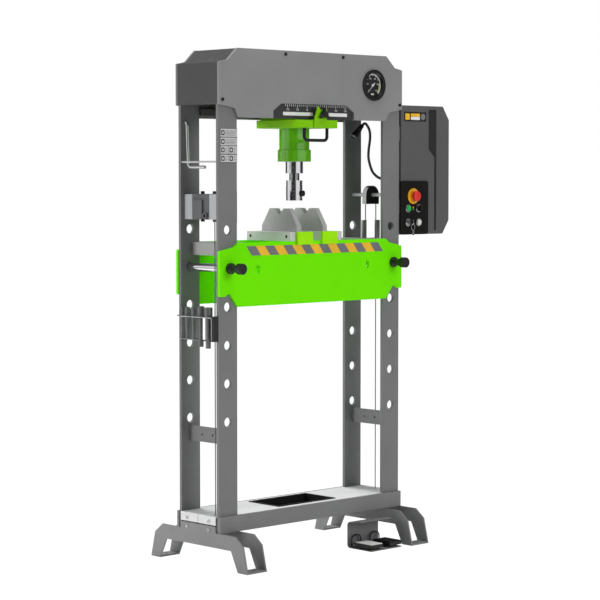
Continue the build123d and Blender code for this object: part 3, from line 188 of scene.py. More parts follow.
def rack_finish():
    """A black bracket at the front and bright wires behind it."""
    bracket_back = -0.0975
    n = Nodes("rack_finish")
    y = n.add("ShaderNodeSeparateXYZ", {"Vector": n.place}).outputs["Y"]
    bracket = n.add("ShaderNodeMath", {0: y, 1: bracket_back}, operation="LESS_THAN").outputs[0]
    lines = n.noise(80, 4)
    wires = n.mix(n.spread(lines, 0, 1), linear(150, 150, 152), linear(205, 205, 208))
    n.feed("Base Color", n.mix(bracket, wires, linear(30, 30, 31)))
    n.feed("Metallic", n.spread(bracket, 1.0, 0.0, 0, 1))
    n.feed("Roughness", n.spread(bracket, 0.28, 0.5, 0, 1))
    n.bump(n.noise(700, 2), 0.1, GRAIN_DEPTH)
    return n.material


def case_finish():
    """Black cases whose left-facing sides are painted light grey: a painted highlight for the light from the
    left.
    """
    left_facing = -0.6
    n = Nodes("case_finish")
    normal = n.add("ShaderNodeNewGeometry").outputs["Normal"]
    x = n.add("ShaderNodeSeparateXYZ", {"Vector": normal}).outputs["X"]
    side = n.add("ShaderNodeMath", {0: x, 1: left_facing}, operation="LESS_THAN").outputs[0]
    clouds = n.spread(n.noise(30, 3), 0, 1)
    # Light grey on faces turned to the left: a painted highlight on the black case
    painted_lit_side = n.mix(clouds, linear(170, 170, 171), linear(184, 184, 186))
    n.feed("Base Color", n.mix(side, linear(28, 28, 29), painted_lit_side))
    n.feed("Roughness", n.spread(clouds, 0.42, 0.5, 0, 1))
    n.bump(n.noise(700, 2), 0.1, GRAIN_DEPTH)
    return n.material


grey = paint("grey_paint", linear(120, 120, 121), 0.5)
# The next three are lighter copies of the one frame grey, painted light for how brightly the head front
# plate, base beams and feet are lit
lit_head_grey = paint("lit_head_grey", linear(138, 138, 139), 0.5)
lit_base_grey = paint("lit_base_grey", linear(126, 126, 127), 0.5)
lit_foot_grey = paint("lit_foot_grey", linear(131, 131, 132), 0.5)
# A darker copy of the frame grey for the head's end cover and the carriage rails: painted shade
shaded_grey_cover = paint("shaded_grey_cover", linear(75, 75, 76), 0.5)
smooth_coat = {"grain": 260, "vary": 0.03}
green = paint("green_paint", linear(114, 240, 0), 0.4, grain_strength=0.07, gloss=0.08, **smooth_coat)
cylinder_green = paint("cylinder_green", linear(92, 174, 0), 0.16, grain_strength=0.03, gloss=1.0,
                       **smooth_coat)
carriage_green = paint("carriage_green", linear(126, 198, 0), 0.35, grain_strength=0.05, **smooth_coat)
tab_green = paint("tab_green", linear(160, 236, 20), 0.4, grain_strength=0.07, gloss=0.08, **smooth_coat)
# The deck shares the base's grey; this much lighter copy is a painted highlight for the light grazing its top
lit_deck_grey = paint("lit_deck_paint", linear(218, 218, 219), 0.5)
guide_grey = paint("guide_grey", linear(164, 164, 163), 0.45)
black = paint("black_paint", linear(28, 28, 29), 0.42)
dark_plate = paint("dark_plate", linear(58, 58, 60), 0.5, grain=900)
cabinet = paint("cabinet_paint", linear(90, 90, 91), 0.5, grain=900, grain_strength=0.25)
# A dark copy of the cabinet grey: painted shade for the recess of the folded channel
painted_channel_shade = paint("painted_recess_shade", linear(42, 42, 43), 0.55, grain=900)
winch_grey = paint("winch_grey", linear(98, 99, 101), 0.42)
winch_light = paint("winch_light", linear(176, 177, 179), 0.42)
ground = steel("ground_steel", linear(200, 200, 200), 0.5, (1, 14, 1), 90,
               vary=0.06, strength=0.05, metal=0.0)
v_steel = steel("v_block_steel", linear(176, 176, 176), 0.5, (14, 1, 1), 70,
                vary=0.06, strength=0.05, metal=0.0)
bright = steel("bright_steel", linear(200, 200, 203), 0.22, (1, 1, 10), 120)
punch_steel = steel("punch_steel", linear(150, 150, 152), 0.3, (1, 1, 10), 120)
chrome = steel("chrome", linear(222, 222, 225), 0.09, (1, 1, 6), 40, 0.04, 0.01)
dark_zinc = steel("dark_screw", linear(70, 70, 72), 0.35, None, 200)
zinc = steel("zinc_screw", linear(206, 206, 208), 0.4, None, 200, vary=0.08, strength=0.06, metal=0.3)
rod_steel = steel("rod_steel", linear(206, 206, 208), 0.38, (1, 10, 1), 90,
                  vary=0.08, strength=0.05, metal=0.5)
hose_grey = paint("hose_grey", linear(60, 60, 61), 0.42)
pack_metal = paint("pack_metal", linear(90, 92, 94), 0.5)
black_plastic = plastic("black_plastic", linear(26, 26, 27), 0.42)
gloss_black = plastic("gloss_black", linear(18, 18, 19), 0.16, 600, 0.03)
panel_black = paint("panel_black", linear(24, 23, 22), 0.6, grain=900, gloss=0.15)
rubber = plastic("black_rubber", linear(24, 24, 24), 0.65, 900, 0.2)
red = plastic("red_plastic", linear(222, 52, 44), 0.3, 500, 0.04)
yellow = plastic("yellow_plastic", linear(238, 178, 32), 0.35, 500, 0.04)
green_plastic = plastic("green_plastic", linear(28, 172, 82), 0.3, 500, 0.04)
white_plastic = plastic("white_plastic", linear(226, 227, 224), 0.35, 500, 0.05)
white_print = ink("white_print", linear(232, 232, 230), 0.55)
light_print = ink("light_print", linear(206, 206, 205), 0.55)
grey_print = ink("grey_print", linear(120, 121, 123), 0.55)
dark_print = ink("dark_print", linear(58, 59, 61), 0.55)
black_print = ink("black_print", linear(20, 20, 21), 0.5)
hazard_yellow = plastic("hazard_yellow", linear(240, 186, 46), 0.42, 900, 0.05, 0.05)
hazard_grey = plastic("hazard_grey", linear(113, 112, 117), 0.42, 900, 0.05, 0.05)
lime_print = ink("lime_print", linear(186, 200, 90), 0.5)
green_print = ink("green_print", linear(70, 170, 60), 0.5)
glass = clear_glass()
rope = rope_steel()
rack = rack_finish()
case = case_finish()

finish = {
    "uprights": grey, "head_front_plate": lit_head_grey, "head_rear_plate": grey, "head_cover": shaded_grey_cover,
    "carriage_rails": shaded_grey_cover, "scale_plate": dark_plate, "gauge_case": gloss_black, "gauge_glass": glass,
    "gauge_needle": white_print, "base_beams": lit_base_grey, "deck_sheets": lit_deck_grey, "bin_tray": black,
    "feet": lit_foot_grey, "lower_braces": grey, "frame_bolts": dark_zinc,
    "bolster_front_plate": green, "bolster_rear_plate": green,
    "bolster_guides": guide_grey, "stop_tabs": tab_green, "press_bars": ground, "v_blocks": v_steel,
    "pin_left": chrome, "pin_right": chrome, "pin_grip_left": black_plastic, "pin_grip_right": black_plastic,
    "carriage_plate": carriage_green, "carriage_slide": carriage_green, "pointer_bracket": carriage_green,
    "clamp_knob": black_plastic, "carriage_handle": black,
    "cylinder_barrel": cylinder_green, "gland_collar": cylinder_green, "piston_rod": chrome,
    "chuck": chrome, "chuck_screw": black_plastic,
    "winch_housing": winch_grey, "winch_drum_covers": winch_light, "winch_back_plate": black,
    "lift_rope": rope, "rope_pulleys": black_plastic, "pulley_cases": case, "cross_rods": rod_steel,
    "crank_handle": chrome, "tool_rack": rack, "punches": punch_steel,
    "lamp_arm": hose_grey, "lamp_head": gloss_black,
    "cabinet_shell": cabinet, "cabinet_cover": cabinet, "control_panel": panel_black,
    "estop_button": red, "start_button": green_plastic, "jog_button": white_plastic,
    "selector_knob": black_plastic, "key_switch": chrome, "hydraulic_unit": pack_metal, "pedal_housing": grey,
    "pedal_left": black_plastic, "pedal_right": black_plastic, "pedal_cables": rubber,
}
for node, material in finish.items():
    obj = frame["nodes"][node]
    if not obj.material_slots:
        obj.data.materials.append(material)
    for slot in obj.material_slots:
        slot.material = material


# Mesh helpers, all in millimetres of the shared frame

def settle(bm, name, body, materials, replaced=()):
    """Turns a bmesh into a piece that rides on a body."""
    bmesh.ops.recalc_face_normals(bm, faces=bm.faces)
    mesh = bpy.data.meshes.new(name)
    bm.to_mesh(mesh)
    bm.free()
    mesh.transform(Matrix.Scale(MM, 4))
    for material in materials:
        mesh.materials.append(material)
    for polygon in mesh.polygons:
        polygon.use_smooth = True
    mesh.set_sharp_from_angle(angle=SHARP_ANGLE)
    obj = bpy.data.objects.new(name, mesh)
    bpy.context.scene.collection.objects.link(obj)
    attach(obj, body)
    if replaced:
        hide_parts(*replaced)
    return obj


def soften(node, width):
    """A copy of a CAD node with its sharp edges rounded, shown in its place."""
    source = frame["nodes"][node]
    bm = bmesh.new()
    bm.from_mesh(source.data)
    bm.transform(source.matrix_world)
    bm.transform(Matrix.Scale(1 / MM, 4))
    bmesh.ops.remove_doubles(bm, verts=bm.verts, dist=WELD)
    bmesh.ops.dissolve_limit(bm, angle_limit=FLAT_ANGLE, verts=bm.verts, edges=bm.edges)
    sharp = [e for e in bm.edges if len(e.link_faces) == 2 and e.calc_face_angle(0) > EDGE_ANGLE]
    bmesh.ops.bevel(bm, geom=sharp, offset=width, offset_type="OFFSET", segments=EDGE_SEGMENTS, profile=0.5,
                    affect="EDGES", clamp_overlap=True)
    bmesh.ops.triangulate(bm, faces=[f for f in bm.faces if len(f.verts) > 4])
    obj = settle(bm, "soft_" + node, body_of[node], [finish[node]], replaced=[node])
    even = obj.modifiers.new("even_shading", "WEIGHTED_NORMAL")
    even.keep_sharp = True


def aimed(origin, axis):
    """A matrix that puts local Z along an axis at an origin."""
    turn = UP.rotation_difference(Vector(axis).normalized()).to_matrix().to_4x4()
    return Matrix.Translation(Vector(origin)) @ turn


def lathe(bm, profile, origin, axis, steps=48, material=0, teeth=0, tooth=0.0):
    """Adds a turned shape: a profile of (radius, height) points about an axis."""
    place = aimed(origin, axis)
    rings = []
    for radius, height in profile:
        ring = []
        for i in range(steps):
            r = radius
            if teeth and radius > 0 and (i * teeth * 2 // steps) % 2:
                r = radius - tooth
            a = 2 * math.pi * i / steps
            ring.append(bm.verts.new(place @ Vector((r * math.cos(a), r * math.sin(a), height))))
        rings.append(ring)
    for low, high in zip(rings, rings[1:]):
        for i in range(steps):
            j = (i + 1) % steps
            bm.faces.new((low[i], low[j], high[j], high[i])).material_index = material
    for ring in (rings[0], rings[-1]):
        bm.faces.new(ring).material_index = material


def prism(bm, points, front, back, material=0):
    """Adds a flat field that faces the front: (x, z) points between two y places."""
    near = [bm.verts.new((x, front, z)) for x, z in points]
    far = [bm.verts.new((x, back, z)) for x, z in points]
    bm.faces.new(near).material_index = material
    bm.faces.new(far[::-1]).material_index = material
    count = len(points)
    for i in range(count):
        j = (i + 1) % count
        bm.faces.new((near[i], far[i], far[j], near[j])).material_index = material


def rect(bm, x0, x1, z0, z1, front, back, material=0, round_by=0.0):
    """Adds a flat rectangle that faces the front, with rounded corners where a radius is given."""
    if not round_by:
        prism(bm, [(x0, z0), (x1, z0), (x1, z1), (x0, z1)], front, back, material)
        return
    points = []
    for cx, cz, start in ((x1 - round_by, z0 + round_by, -90), (x1 - round_by, z1 - round_by, 0),
                          (x0 + round_by, z1 - round_by, 90), (x0 + round_by, z0 + round_by, 180)):
        for turn in range(CORNER_STEPS + 1):
            a = math.radians(start + turn * 90 / CORNER_STEPS)
            points.append((cx + round_by * math.cos(a), cz + round_by * math.sin(a)))
    prism(bm, points, front, back, material)


def number(bm, text, x, z, size, front):
    """Adds flat digits that face the front, centred on a place."""
    curve = bpy.data.curves.new("digits", "FONT")
    curve.body = text
    curve.size = size
    curve.align_x = "CENTER"
    curve.align_y = "CENTER"
    obj = bpy.data.objects.new("digits", curve)
    mesh = bpy.data.meshes.new_from_object(obj)
    start = len(bm.verts)
    bm.from_mesh(mesh)
    bm.verts.ensure_lookup_table()
    for vert in bm.verts[start:]:
        vert.co = Vector((x + vert.co.x, front, z + vert.co.y))
    bpy.data.objects.remove(obj)
    bpy.data.curves.remove(curve)
    bpy.data.meshes.remove(mesh)


def swept(bm, points, radius_at, sides):
    """Adds a round tube along points, with a radius for each."""
    points = [Vector(p) for p in points]
    rings = []
    side = Vector((0, 1, 0))
    for i, point in enumerate(points):
        along = (points[min(i + 1, len(points) - 1)] - points[max(i - 1, 0)]).normalized()
        side = (side - along * side.dot(along)).normalized()
        other = along.cross(side)
        r = radius_at(i)
        rings.append([bm.verts.new(point + (side * math.cos(a) + other * math.sin(a)) * r)
                      for a in [2 * math.pi * k / sides for k in range(sides)]])
    for low, high in zip(rings, rings[1:]):
        for i in range(sides):
            j = (i + 1) % sides
            bm.faces.new((low[i], low[j], high[j], high[i]))
    for ring in (rings[0], rings[-1]):
        bm.faces.new(ring)


def spline_points(route, count):
    """Evenly spaced points of the smooth curve that a route of points controls."""
    curve = bpy.data.curves.new("route", "CURVE")
    curve.dimensions = "3D"
    spline = curve.splines.new("NURBS")
    spline.points.add(len(route) - 1)
    for point, place in zip(spline.points, route):
        point.co = (*place, 1)
    spline.order_u = 3
    spline.use_endpoint_u = True
    curve.resolution_u = 24
    obj = bpy.data.objects.new("route", curve)
    mesh = bpy.data.meshes.new_from_object(obj)
    line = [v.co.copy() for v in mesh.vertices]
    bpy.data.objects.remove(obj)
    bpy.data.curves.remove(curve)
    bpy.data.meshes.remove(mesh)
    reach = [0.0]
    for a, b in zip(line, line[1:]):
        reach.append(reach[-1] + (b - a).length)
    out = []
    k = 0
    for i in range(count):
        want = reach[-1] * i / (count - 1)
        while k < len(line) - 2 and reach[k + 1] < want:
            k += 1
        share = (want - reach[k]) / max(1e-9, reach[k + 1] - reach[k])
        out.append(line[k].lerp(line[k + 1], min(1, share)))
    return out


# Rounded copies of the CAD pieces

rounded = {
    "uprights": 1.2, "head_front_plate": 1.6, "head_rear_plate": 1.6, "head_cover": 1.4, "base_beams": 1.6,
    "deck_sheets": 1.2, "bin_tray": 1.0, "feet": 1.4, "lower_braces": 1.0, "bolster_front_plate": 1.6,
    "bolster_rear_plate": 1.6, "bolster_guides": 1.6, "stop_tabs": 1.4, "press_bars": 1.4, "v_blocks": 1.0,
    "pin_left": 2.0, "pin_right": 2.0, "pin_grip_left": 2.4, "pin_grip_right": 2.4, "carriage_plate": 2.4,
    "pointer_bracket": 0.9, "clamp_knob": 1.2, "gland_collar": 2.4, "chuck": 0.6, "winch_housing": 2.4,
    "winch_drum_covers": 3.0, "winch_back_plate": 1.0, "pulley_cases": 0.9, "tool_rack": 0.9, "punches": 1.0,
    "cabinet_shell": 1.3, "cabinet_cover": 1.3, "control_panel": 0.9, "gauge_case": 1.4, "start_button": 1.4,
    "jog_button": 1.4, "selector_knob": 1.0, "pedal_housing": 1.2, "pedal_left": 1.6, "pedal_right": 1.6,
}
for node, width in rounded.items():
    soften(node, width)

# Printed fields lie on a face: they stand a little proud of it and reach a little into it

PRINT_RISE = 0.4
LABEL_RISE = 0.5
PRINT_SINK = 0.2


def layer(face, rise, sink=PRINT_SINK):
    """The front and back places of a field on a face."""
    return face - rise, face + sink


# Hazard stripes on the bolster

beam_face = -122.0
stripe_count = 15
stripe_left, stripe_right = -345.0, 342.0
stripe_low, stripe_top = 1137.0, 1172.0
stripe_lean = 27.0
stripe_width = (stripe_right - stripe_left) / stripe_count
bm = bmesh.new()
for i in range(stripe_count):
    a = stripe_left + i * stripe_width
    b = a + stripe_width
    corners = [(a + stripe_lean, stripe_low), (b + stripe_lean, stripe_low), (b, stripe_top), (a, stripe_top)]
    prism(bm, corners, *layer(beam_face, PRINT_RISE), i % 2)
settle(bm, "hazard_stripes", "frame", [hazard_grey, hazard_yellow])

# Scale with its ticks, and two plain strips below it

scale_face = -113.0
scale_zero_x = 20
tick_pitch = 10
tick_half = 0.9
tick_top = 1693
long_tick_foot, short_tick_foot = 1680, 1686
figure_step, figure_z, figure_size = 50, 1674, 10
strip_low, strip_top, strip_round = 1652, 1665, 2
bm = bmesh.new()
for i in range(-16, 17):
    x = scale_zero_x + i * tick_pitch
    foot = long_tick_foot if i % 5 == 0 else short_tick_foot
    rect(bm, x - tick_half, x + tick_half, foot, tick_top, *layer(scale_face, PRINT_RISE))
for i in range(-3, 4):
    mark = i * figure_step
    number(bm, str(abs(mark)), scale_zero_x + mark, figure_z, figure_size, scale_face - PRINT_RISE)
for left, right in ((-153, 0), (79, 180)):
    rect(bm, left, right, strip_low, strip_top, *layer(scale_face, PRINT_RISE), 0, strip_round)
settle(bm, "scale_marks", "frame", [white_print])

# Gauge dial: ticks, numbers, two white arcs and a lime one, and a plain field

gauge_x, gauge_z = 315.0, 1776.0
dial = layer(-116.1, PRINT_RISE)
dial_start, dial_turn, dial_ticks = 225, 270, 50
tick_rim = 43
long_tick, short_tick = (35.5, 0.8), (39.0, 0.45)
number_radius, number_size = 28.5, 8.5
arc_steps = 40
arcs = ((225, 18, 40.6, 44.4, 0), (18, -45, 40.6, 44.4, 0), (8, -45, 34.5, 39.8, 1))
unit_half, unit_low, unit_top, unit_round = 8, 37, 31, 1.5


def on_dial(angle, radius, aside=0.0):
    """A place on the dial at an angle and a radius, moved aside along the rim."""
    c, s = math.cos(angle), math.sin(angle)
    return gauge_x + radius * c - aside * s, gauge_z + radius * s + aside * c


bm = bmesh.new()
for i in range(dial_ticks + 1):
    a = math.radians(dial_start - i * dial_turn / dial_ticks)
    foot, half = long_tick if i % 5 == 0 else short_tick
    corners = [(foot, -half), (tick_rim, -half), (tick_rim, half), (foot, half)]
    prism(bm, [on_dial(a, radius, aside) for radius, aside in corners], *dial)
    if i % 10 == 0:
        number(bm, str(i * 10), *on_dial(a, number_radius), number_size, dial[0])
for start, end, low, high, material in arcs:
    sweep = [math.radians(start + (end - start) * k / arc_steps) for k in range(arc_steps + 1)]
    outer = [on_dial(a, high) for a in sweep]
    inner = [on_dial(a, low) for a in reversed(sweep)]
    prism(bm, outer + inner, *dial, material)
rect(bm, gauge_x - unit_half, gauge_x + unit_half, gauge_z - unit_low, gauge_z - unit_top, *dial, 0,
     unit_round)
settle(bm, "gauge_marks", "frame", [white_print, lime_print])

# Plain information plate on the front left upright: fields with a symbol and four lines each

plate_face = -110.0
plate_field = layer(plate_face, 0.8, -0.4)
plate_symbol = layer(plate_face, 1.0, -0.7)
plate_dot = layer(plate_face, 1.1, -0.9)
symbol_round = 3
line_pitch = 5
wide_fields = [(-459, -381, 1569, 1598), (-459, -381, 1538, 1566)]
small_width, small_height = 38, 27
small_fields = [(x, x + small_width, z, z + small_height) for x in (-459, -419) for z in (1508, 1477.5)]
bm = bmesh.new()
rect(bm, -461, -379, 1475, 1600, *layer(plate_face, LABEL_RISE), 0, 2)
for x0, x1, z0, z1 in wide_fields + small_fields:
    rect(bm, x0, x1, z0, z1, *plate_field, 1, 1.5)
    middle = (z0 + z1) / 2
    rect(bm, x0 + 3, x0 + 19, middle - 9, middle + 9, *plate_symbol, 2, symbol_round)
    rect(bm, x0 + 7, x0 + 15, middle - 5, middle + 5, *plate_dot, 1, symbol_round)
    for k in range(4):
        low = middle + 5.5 - line_pitch * k
        rect(bm, x0 + 22, x1 - 3 - 4 * (k % 2), low, low + 2, *plate_symbol, 3)
settle(bm, "information_plate", "frame", [dark_print, light_print, black_print, grey_print])

# Cabinet: a plain label with fields, and a dark sheet of painted shade in the folded channel

cabinet_face = -112.0
cabinet_field = layer(cabinet_face, 0.9, -0.4)
label_fields = ((503, 528, 1648, 1673, 1, 4), (534, 586, 1661, 1673, 1, 2),
                (534, 586, 1648, 1660, 2, 2), (592, 617, 1648, 1673, 3, 12))
bm = bmesh.new()
rect(bm, 497, 623, 1642, 1679, *layer(cabinet_face, LABEL_RISE), 0, 2)
for x0, x1, z0, z1, material, round_by in label_fields:
    rect(bm, x0, x1, z0, z1, *cabinet_field, material, round_by)
settle(bm, "cabinet_fields", "frame", [black_print, hazard_yellow, white_print, grey_print])
# The channel's floor is covered with a dark sheet: painted shade for the recess
channel_floor = -107.1
channel = [(672.6, 1212.6), (683.4, 1212.6), (683.4, 1689.4),
           (638.6, 1689.4), (638.6, 1534.2), (672.6, 1503.2)]
bm = bmesh.new()
prism(bm, channel, *layer(channel_floor, PRINT_RISE))
settle(bm, "cabinet_channel_shade", "frame", [painted_channel_shade])

# Switch panel: yellow disc, bezels, two small fields in each row, the key's ring and tag

panel_face = -118.0
switch_columns, switch_rows = (514, 574), (1301, 1246)
disc_profile = [(11, 2.9), (28, 2.9), (30, 3.6), (30.6, 3.0), (30.6, 0.2), (11, 0.2)]
bezel_profile = [(11.6, 0.5), (15.4, 0.5), (15.4, 3.2), (14.4, 4.2), (12.4, 4.2), (11.6, 3.4)]
bm = bmesh.new()
lathe(bm, disc_profile, (543, panel_face, 1349), FRONT, 64)
settle(bm, "estop_disc", "frame", [yellow])
bm = bmesh.new()
for z in switch_rows:
    for x in switch_columns:
        lathe(bm, bezel_profile, (x, panel_face, z), FRONT)
settle(bm, "switch_bezels", "frame", [bright])
field_left, field_right = 541.5, 546.5
bm = bmesh.new()
for z in switch_rows:
    for material, low, top in ((0, z - 7, z - 1), (1, z + 1, z + 7)):
        rect(bm, field_left, field_right, low, top, *layer(panel_face, LABEL_RISE), material, 1)
settle(bm, "panel_fields", "frame", [green_print, hazard_yellow])
key_x, ring_y, ring_z = 514, -146, 1228
ring_half_width, ring_half_height, ring_wire = 10, 12, 0.9
ring_steps = 32
ring = []
for k in range(ring_steps + 1):
    a = 2 * math.pi * k / ring_steps
    ring.append((key_x + ring_half_width * math.sin(a), ring_y, ring_z + ring_half_height * math.cos(a)))
bm = bmesh.new()
swept(bm, ring, lambda i: ring_wire, 10)
rect(bm, key_x - 5, key_x + 5, 1196, 1217, ring_y - 1, ring_y + 1, 0, 3)
settle(bm, "key_ring", "key", [bright])

# Lamp: shade with three ribs, lens, ribbed hose and its foot

lamp_back = Vector((374, -3, 1625))
lamp_axis = Vector((-45, 4, -46))
reach = lamp_axis.length
lamp_steps = 40
shade_profile = [(0, 0), (7.5, 0), (8.6, 2), (8.8, 16), (10.2, 18), (10.4, 30), (14.4, 58), (15, reach),
                 (13.2, reach), (12.6, reach - 6), (0, reach - 6)]
rib_profile = [(10.6, 0), (11.2, 0.5), (11.2, 1.4), (10.6, 1.9)]
lens_profile = [(0, reach - 4.6), (6, reach - 3.4), (12.4, reach - 5.2), (12.4, reach - 5.9),
                (0, reach - 5.9)]
foot_profile = [(18, 0), (18, 10.4), (17, 11.6), (10, 12), (7, 13)]
bm = bmesh.new()
lathe(bm, shade_profile, lamp_back, lamp_axis, lamp_steps)
for place in (20, 23, 26):
    lathe(bm, [(radius, place + height) for radius, height in rib_profile], lamp_back, lamp_axis, lamp_steps)
settle(bm, "lamp_shade", "frame", [gloss_black], replaced=["lamp_head"])
bm = bmesh.new()
lathe(bm, lens_profile, lamp_back, lamp_axis, lamp_steps)
settle(bm, "lamp_lens", "frame", [dark_print])
hose_lead = 14
hose_rings = 240
hose_ridge, hose_groove = 5.5, 4.7
route = [(430, -86, 1414), (430, -44, 1416), (430, -6, 1440), (422, 0, 1467), (411, 0, 1498), (413, 0, 1534),
         (421, 0, 1568), (421, 0, 1604), (402, 0, 1630)]
route += [tuple(lamp_back - lamp_axis.normalized() * hose_lead), tuple(lamp_back)]
bm = bmesh.new()
swept(bm, spline_points(route, hose_rings), lambda i: hose_ridge if i % 4 < 2 else hose_groove, 18)
lathe(bm, foot_profile, (430, -98, 1414), (0, 1, 0), lamp_steps)
settle(bm, "lamp_hose", "frame", [hose_grey], replaced=["lamp_arm"])

# Ram: threaded neck and knurled screw

ram_x = 11
thread_foot, thread_pitch, thread_count = 1411.6, 3, 9
thread_profile = [(18.6, 0), (19.9, 1.3), (18.6, 2.6)]
thread = []
for k in range(thread_count):
    z = thread_foot + k * thread_pitch
    thread += [(radius, z + height) for radius, height in thread_profile]
bm = bmesh.new()
lathe(bm, thread, (ram_x, 0, 0), UP)
settle(bm, "ram_thread", "ram", [black_plastic])
screw_angle = math.radians(-75)
screw_z = 1362
chuck_radius = 32
knurl_count, knurl_depth = 24, 0.9
screw_profile = [(5, -15), (5, 0), (9.4, 0), (10.8, 1), (10.8, 10), (9.4, 11), (5, 11.0), (4, 10)]
out = Vector((math.cos(screw_angle), math.sin(screw_angle), 0))
seat = out * chuck_radius + Vector((ram_x, 0, screw_z))
bm = bmesh.new()
lathe(bm, screw_profile, seat, out, 96, teeth=knurl_count, tooth=knurl_depth)
settle(bm, "knurled_screw", "chuck_screw", [black_plastic], replaced=["chuck_screw"])

# Black cups in the press bars' tapped holes: painted shade that darkens the holes

hole_shade_z = 1202
hole_shade_profile = [(0, -9), (3.6, -9), (3.6, 0.1), (5.4, 0.4), (5.8, 0.1), (5.8, -0.2), (4.8, -0.2),
                  (4.8, -9.6), (0, -9.6)]
bm = bmesh.new()
for x, side in ((-124, -1), (146, 1)):
    for y in (-99, 99):
        lathe(bm, hole_shade_profile, (x, y, hole_shade_z), Vector((side, 0, 0)), 24)
settle(bm, "hole_shade_cups", "frame", [black_print])

# Cap screws with sockets: dark ones in the head, bright ones in the base's ends

cap_profile = [(3.5, -9), (3.5, 0), (6, 0), (6, 4.2), (5.3, 5), (3.4, 5), (3.2, 2.2)]
base_end_x = 476
places = [((x, beam_face, 1876), FRONT, 0) for x in (-149, 149)]
places += [((x, beam_face, 1703), FRONT, 0) for x in (-460, 460)]
for side in (-1, 1):
    for y in (-60, 60):
        for z in (138, 169):
            places.append(((side * base_end_x, y, z), Vector((side, 0, 0)), 1))
bm = bmesh.new()
for at, out, tone in places:
    lathe(bm, cap_profile, at, out, 24, tone)
settle(bm, "cap_screws", "frame", [dark_zinc, zinc], replaced=["frame_bolts"])

# Ribbed covers on the pedals

cover_left, cover_width, pedal_step = 175, 61, 101
rib_count, rib_pitch, first_rib = 14, 6, -248
cover_rib = [(-2.2, 26), (-1.4, 27), (1.4, 27), (2.2, 26)]
outline = [(-252, 23.6), (-252, 25.2), (-251, 26)]
for k in range(rib_count):
    outline += [(first_rib + k * rib_pitch + run, z) for run, z in cover_rib]
outline += [(-166, 26), (-165, 25.2), (-165, 23.6)]
for index, (name, material) in enumerate((("pedal_left", white_plastic), ("pedal_right", rubber))):
    x = cover_left + index * pedal_step
    bm = bmesh.new()
    near = [bm.verts.new((x, y, z)) for y, z in outline]
    far = [bm.verts.new((x + cover_width, y, z)) for y, z in outline]
    bm.faces.new(near)
    bm.faces.new(far[::-1])
    for i in range(len(outline)):
        j = (i + 1) % len(outline)
        bm.faces.new((near[i], far[i], far[j], near[j]))
    settle(bm, name + "_cover", name, [material])

# Floor, light and camera, in metres

FLOOR_HALF = 40
FLOOR_TONE = (0.86, 0.86, 0.86, 1)
WHITE = (1, 1, 1, 1)
FLOOR_GLOW = 1.06
FLOOR_GLOW_SHARE = 0.97
SOFT_LIGHT = 0.22
DARK_REFLECTION = 0.04
# Each panel: its direction, the cosines where it starts and is full, and its strength
PANELS = (
    ((0.198, -0.98, 0.0), 0.80, 0.90, 1.2),
    ((-0.853, 0.523, 0.0), 0.78, 0.88, 1.2),
    ((0.0, 0.0, 1.0), 0.35, 0.9, 0.6),
)
# Each light: its name, place, target, size and power in watts
LIGHTS = (
    ("key", (0.6, -5.2, 2.4), (0, 0, 1.0), (1.6, 2.0), 95),
    ("left", (-4.6, 1.4, 1.9), (0, 0, 1.0), (1.6, 2.0), 96),
    ("top", (0, -0.3, 4.6), (0, 0, 0), (2.6, 2.6), 90),
    ("deck", (0.3, 3.4, 2.9), (0, 0, 0.3), (3.0, 1.6), 190),
)


def stage_floor():
    """A wide pale floor that the camera sees as nearly white."""
    bm = bmesh.new()
    corners = ((-FLOOR_HALF, -FLOOR_HALF), (FLOOR_HALF, -FLOOR_HALF), (FLOOR_HALF, FLOOR_HALF),
               (-FLOOR_HALF, FLOOR_HALF))
    bm.faces.new([bm.verts.new((x, y, 0)) for x, y in corners])
    mesh = bpy.data.meshes.new("floor")
    bm.to_mesh(mesh)
    bm.free()
    obj = bpy.data.objects.new("floor", mesh)
    bpy.context.scene.collection.objects.link(obj)
    n = Nodes("floor_white")
    n.feed("Base Color", FLOOR_TONE)
    n.feed("Roughness", 0.9)
    seen = n.add("ShaderNodeLightPath").outputs["Is Camera Ray"]
    glow = n.add("ShaderNodeEmission", {"Color": WHITE, "Strength": FLOOR_GLOW}).outputs[0]
    share = n.spread(seen, 0.0, FLOOR_GLOW_SHARE, 0, 1)
    links = {0: share, 1: n.shader.outputs[0], 2: glow}
    blend = n.add("ShaderNodeMixShader", links).outputs[0]
    n.tree.links.new(blend, n.tree.nodes["Material Output"].inputs["Surface"])
    mesh.materials.append(n.material)


def area_light(name, place, target, size, power):
    """A soft light that reflections don't show."""
    data = bpy.data.lights.new(name, "AREA")
    data.shape = "RECTANGLE"
    data.size, data.size_y = size
    data.energy = power
    obj = bpy.data.objects.new(name, data)
    bpy.context.scene.collection.objects.link(obj)
    obj.location = place
    obj.rotation_euler = (Vector(target) - Vector(place)).to_track_quat("-Z", "Y").to_euler()
    obj.visible_glossy = False


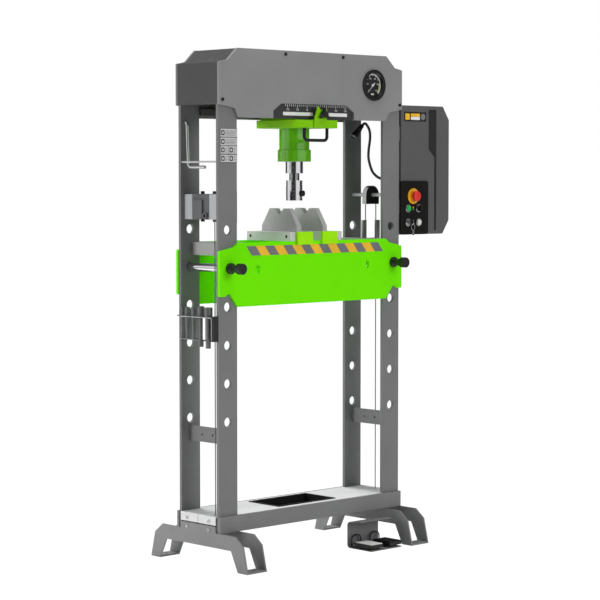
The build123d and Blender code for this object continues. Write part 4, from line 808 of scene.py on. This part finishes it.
def studio_world():
    """Even soft light, white behind the object, and bright panels that only reflections show."""
    world = bpy.data.worlds.new("studio")
    world.use_nodes = True
    tree = world.node_tree
    add = tree.nodes.new
    link = tree.links.new

    def larger(first, second=None):
        node = add("ShaderNodeMath")
        node.operation = "MAXIMUM"
        link(first, node.inputs[0])
        if second is None:
            node.inputs[1].default_value = DARK_REFLECTION
        else:
            link(second, node.inputs[1])
        return node.outputs[0]

    def blend(factor, first, second):
        node = add("ShaderNodeMixShader")
        for socket, value in zip(node.inputs, (factor, first, second)):
            link(value, socket)
        return node.outputs[0]

    way = add("ShaderNodeTexCoord").outputs["Generated"]
    panels = []
    for aim, start, end, strength in PANELS:
        dot = add("ShaderNodeVectorMath")
        dot.operation = "DOT_PRODUCT"
        link(way, dot.inputs[0])
        dot.inputs[1].default_value = aim
        ramp = add("ShaderNodeMapRange")
        ramp.inputs["From Min"].default_value = start
        ramp.inputs["From Max"].default_value = end
        ramp.inputs["To Max"].default_value = strength
        link(dot.outputs["Value"], ramp.inputs["Value"])
        panels.append(ramp.outputs["Result"])
    total = panels[0]
    for panel in panels[1:]:
        total = larger(total, panel)
    mirror = add("ShaderNodeBackground")
    link(larger(total), mirror.inputs["Strength"])
    soft = tree.nodes["Background"]
    soft.inputs["Color"].default_value = WHITE
    soft.inputs["Strength"].default_value = SOFT_LIGHT
    backdrop = add("ShaderNodeBackground")
    backdrop.inputs["Color"].default_value = WHITE
    rays = add("ShaderNodeLightPath").outputs
    lit = blend(rays["Is Glossy Ray"], soft.outputs[0], mirror.outputs[0])
    shown = blend(rays["Is Camera Ray"], lit, backdrop.outputs[0])
    link(shown, tree.nodes["World Output"].inputs["Surface"])
    return world


stage_floor()
for light in LIGHTS:
    area_light(*light)

CAMERA_PLACE = (-5.4009, -5.7205, 1.4253)
CAMERA_DROP = 3.41
CAMERA_TURN = -43.57
scene = bpy.context.scene
scene.world = studio_world()
camera_data = bpy.data.cameras.new("camera")
camera_data.sensor_width = 36
camera_data.lens = 124.2
camera_data.clip_end = 200
camera = bpy.data.objects.new("camera", camera_data)
scene.collection.objects.link(camera)
camera.location = CAMERA_PLACE
camera.rotation_euler = (math.radians(90 - CAMERA_DROP), 0, math.radians(CAMERA_TURN))
scene.camera = camera
scene.view_settings.view_transform = "Standard"
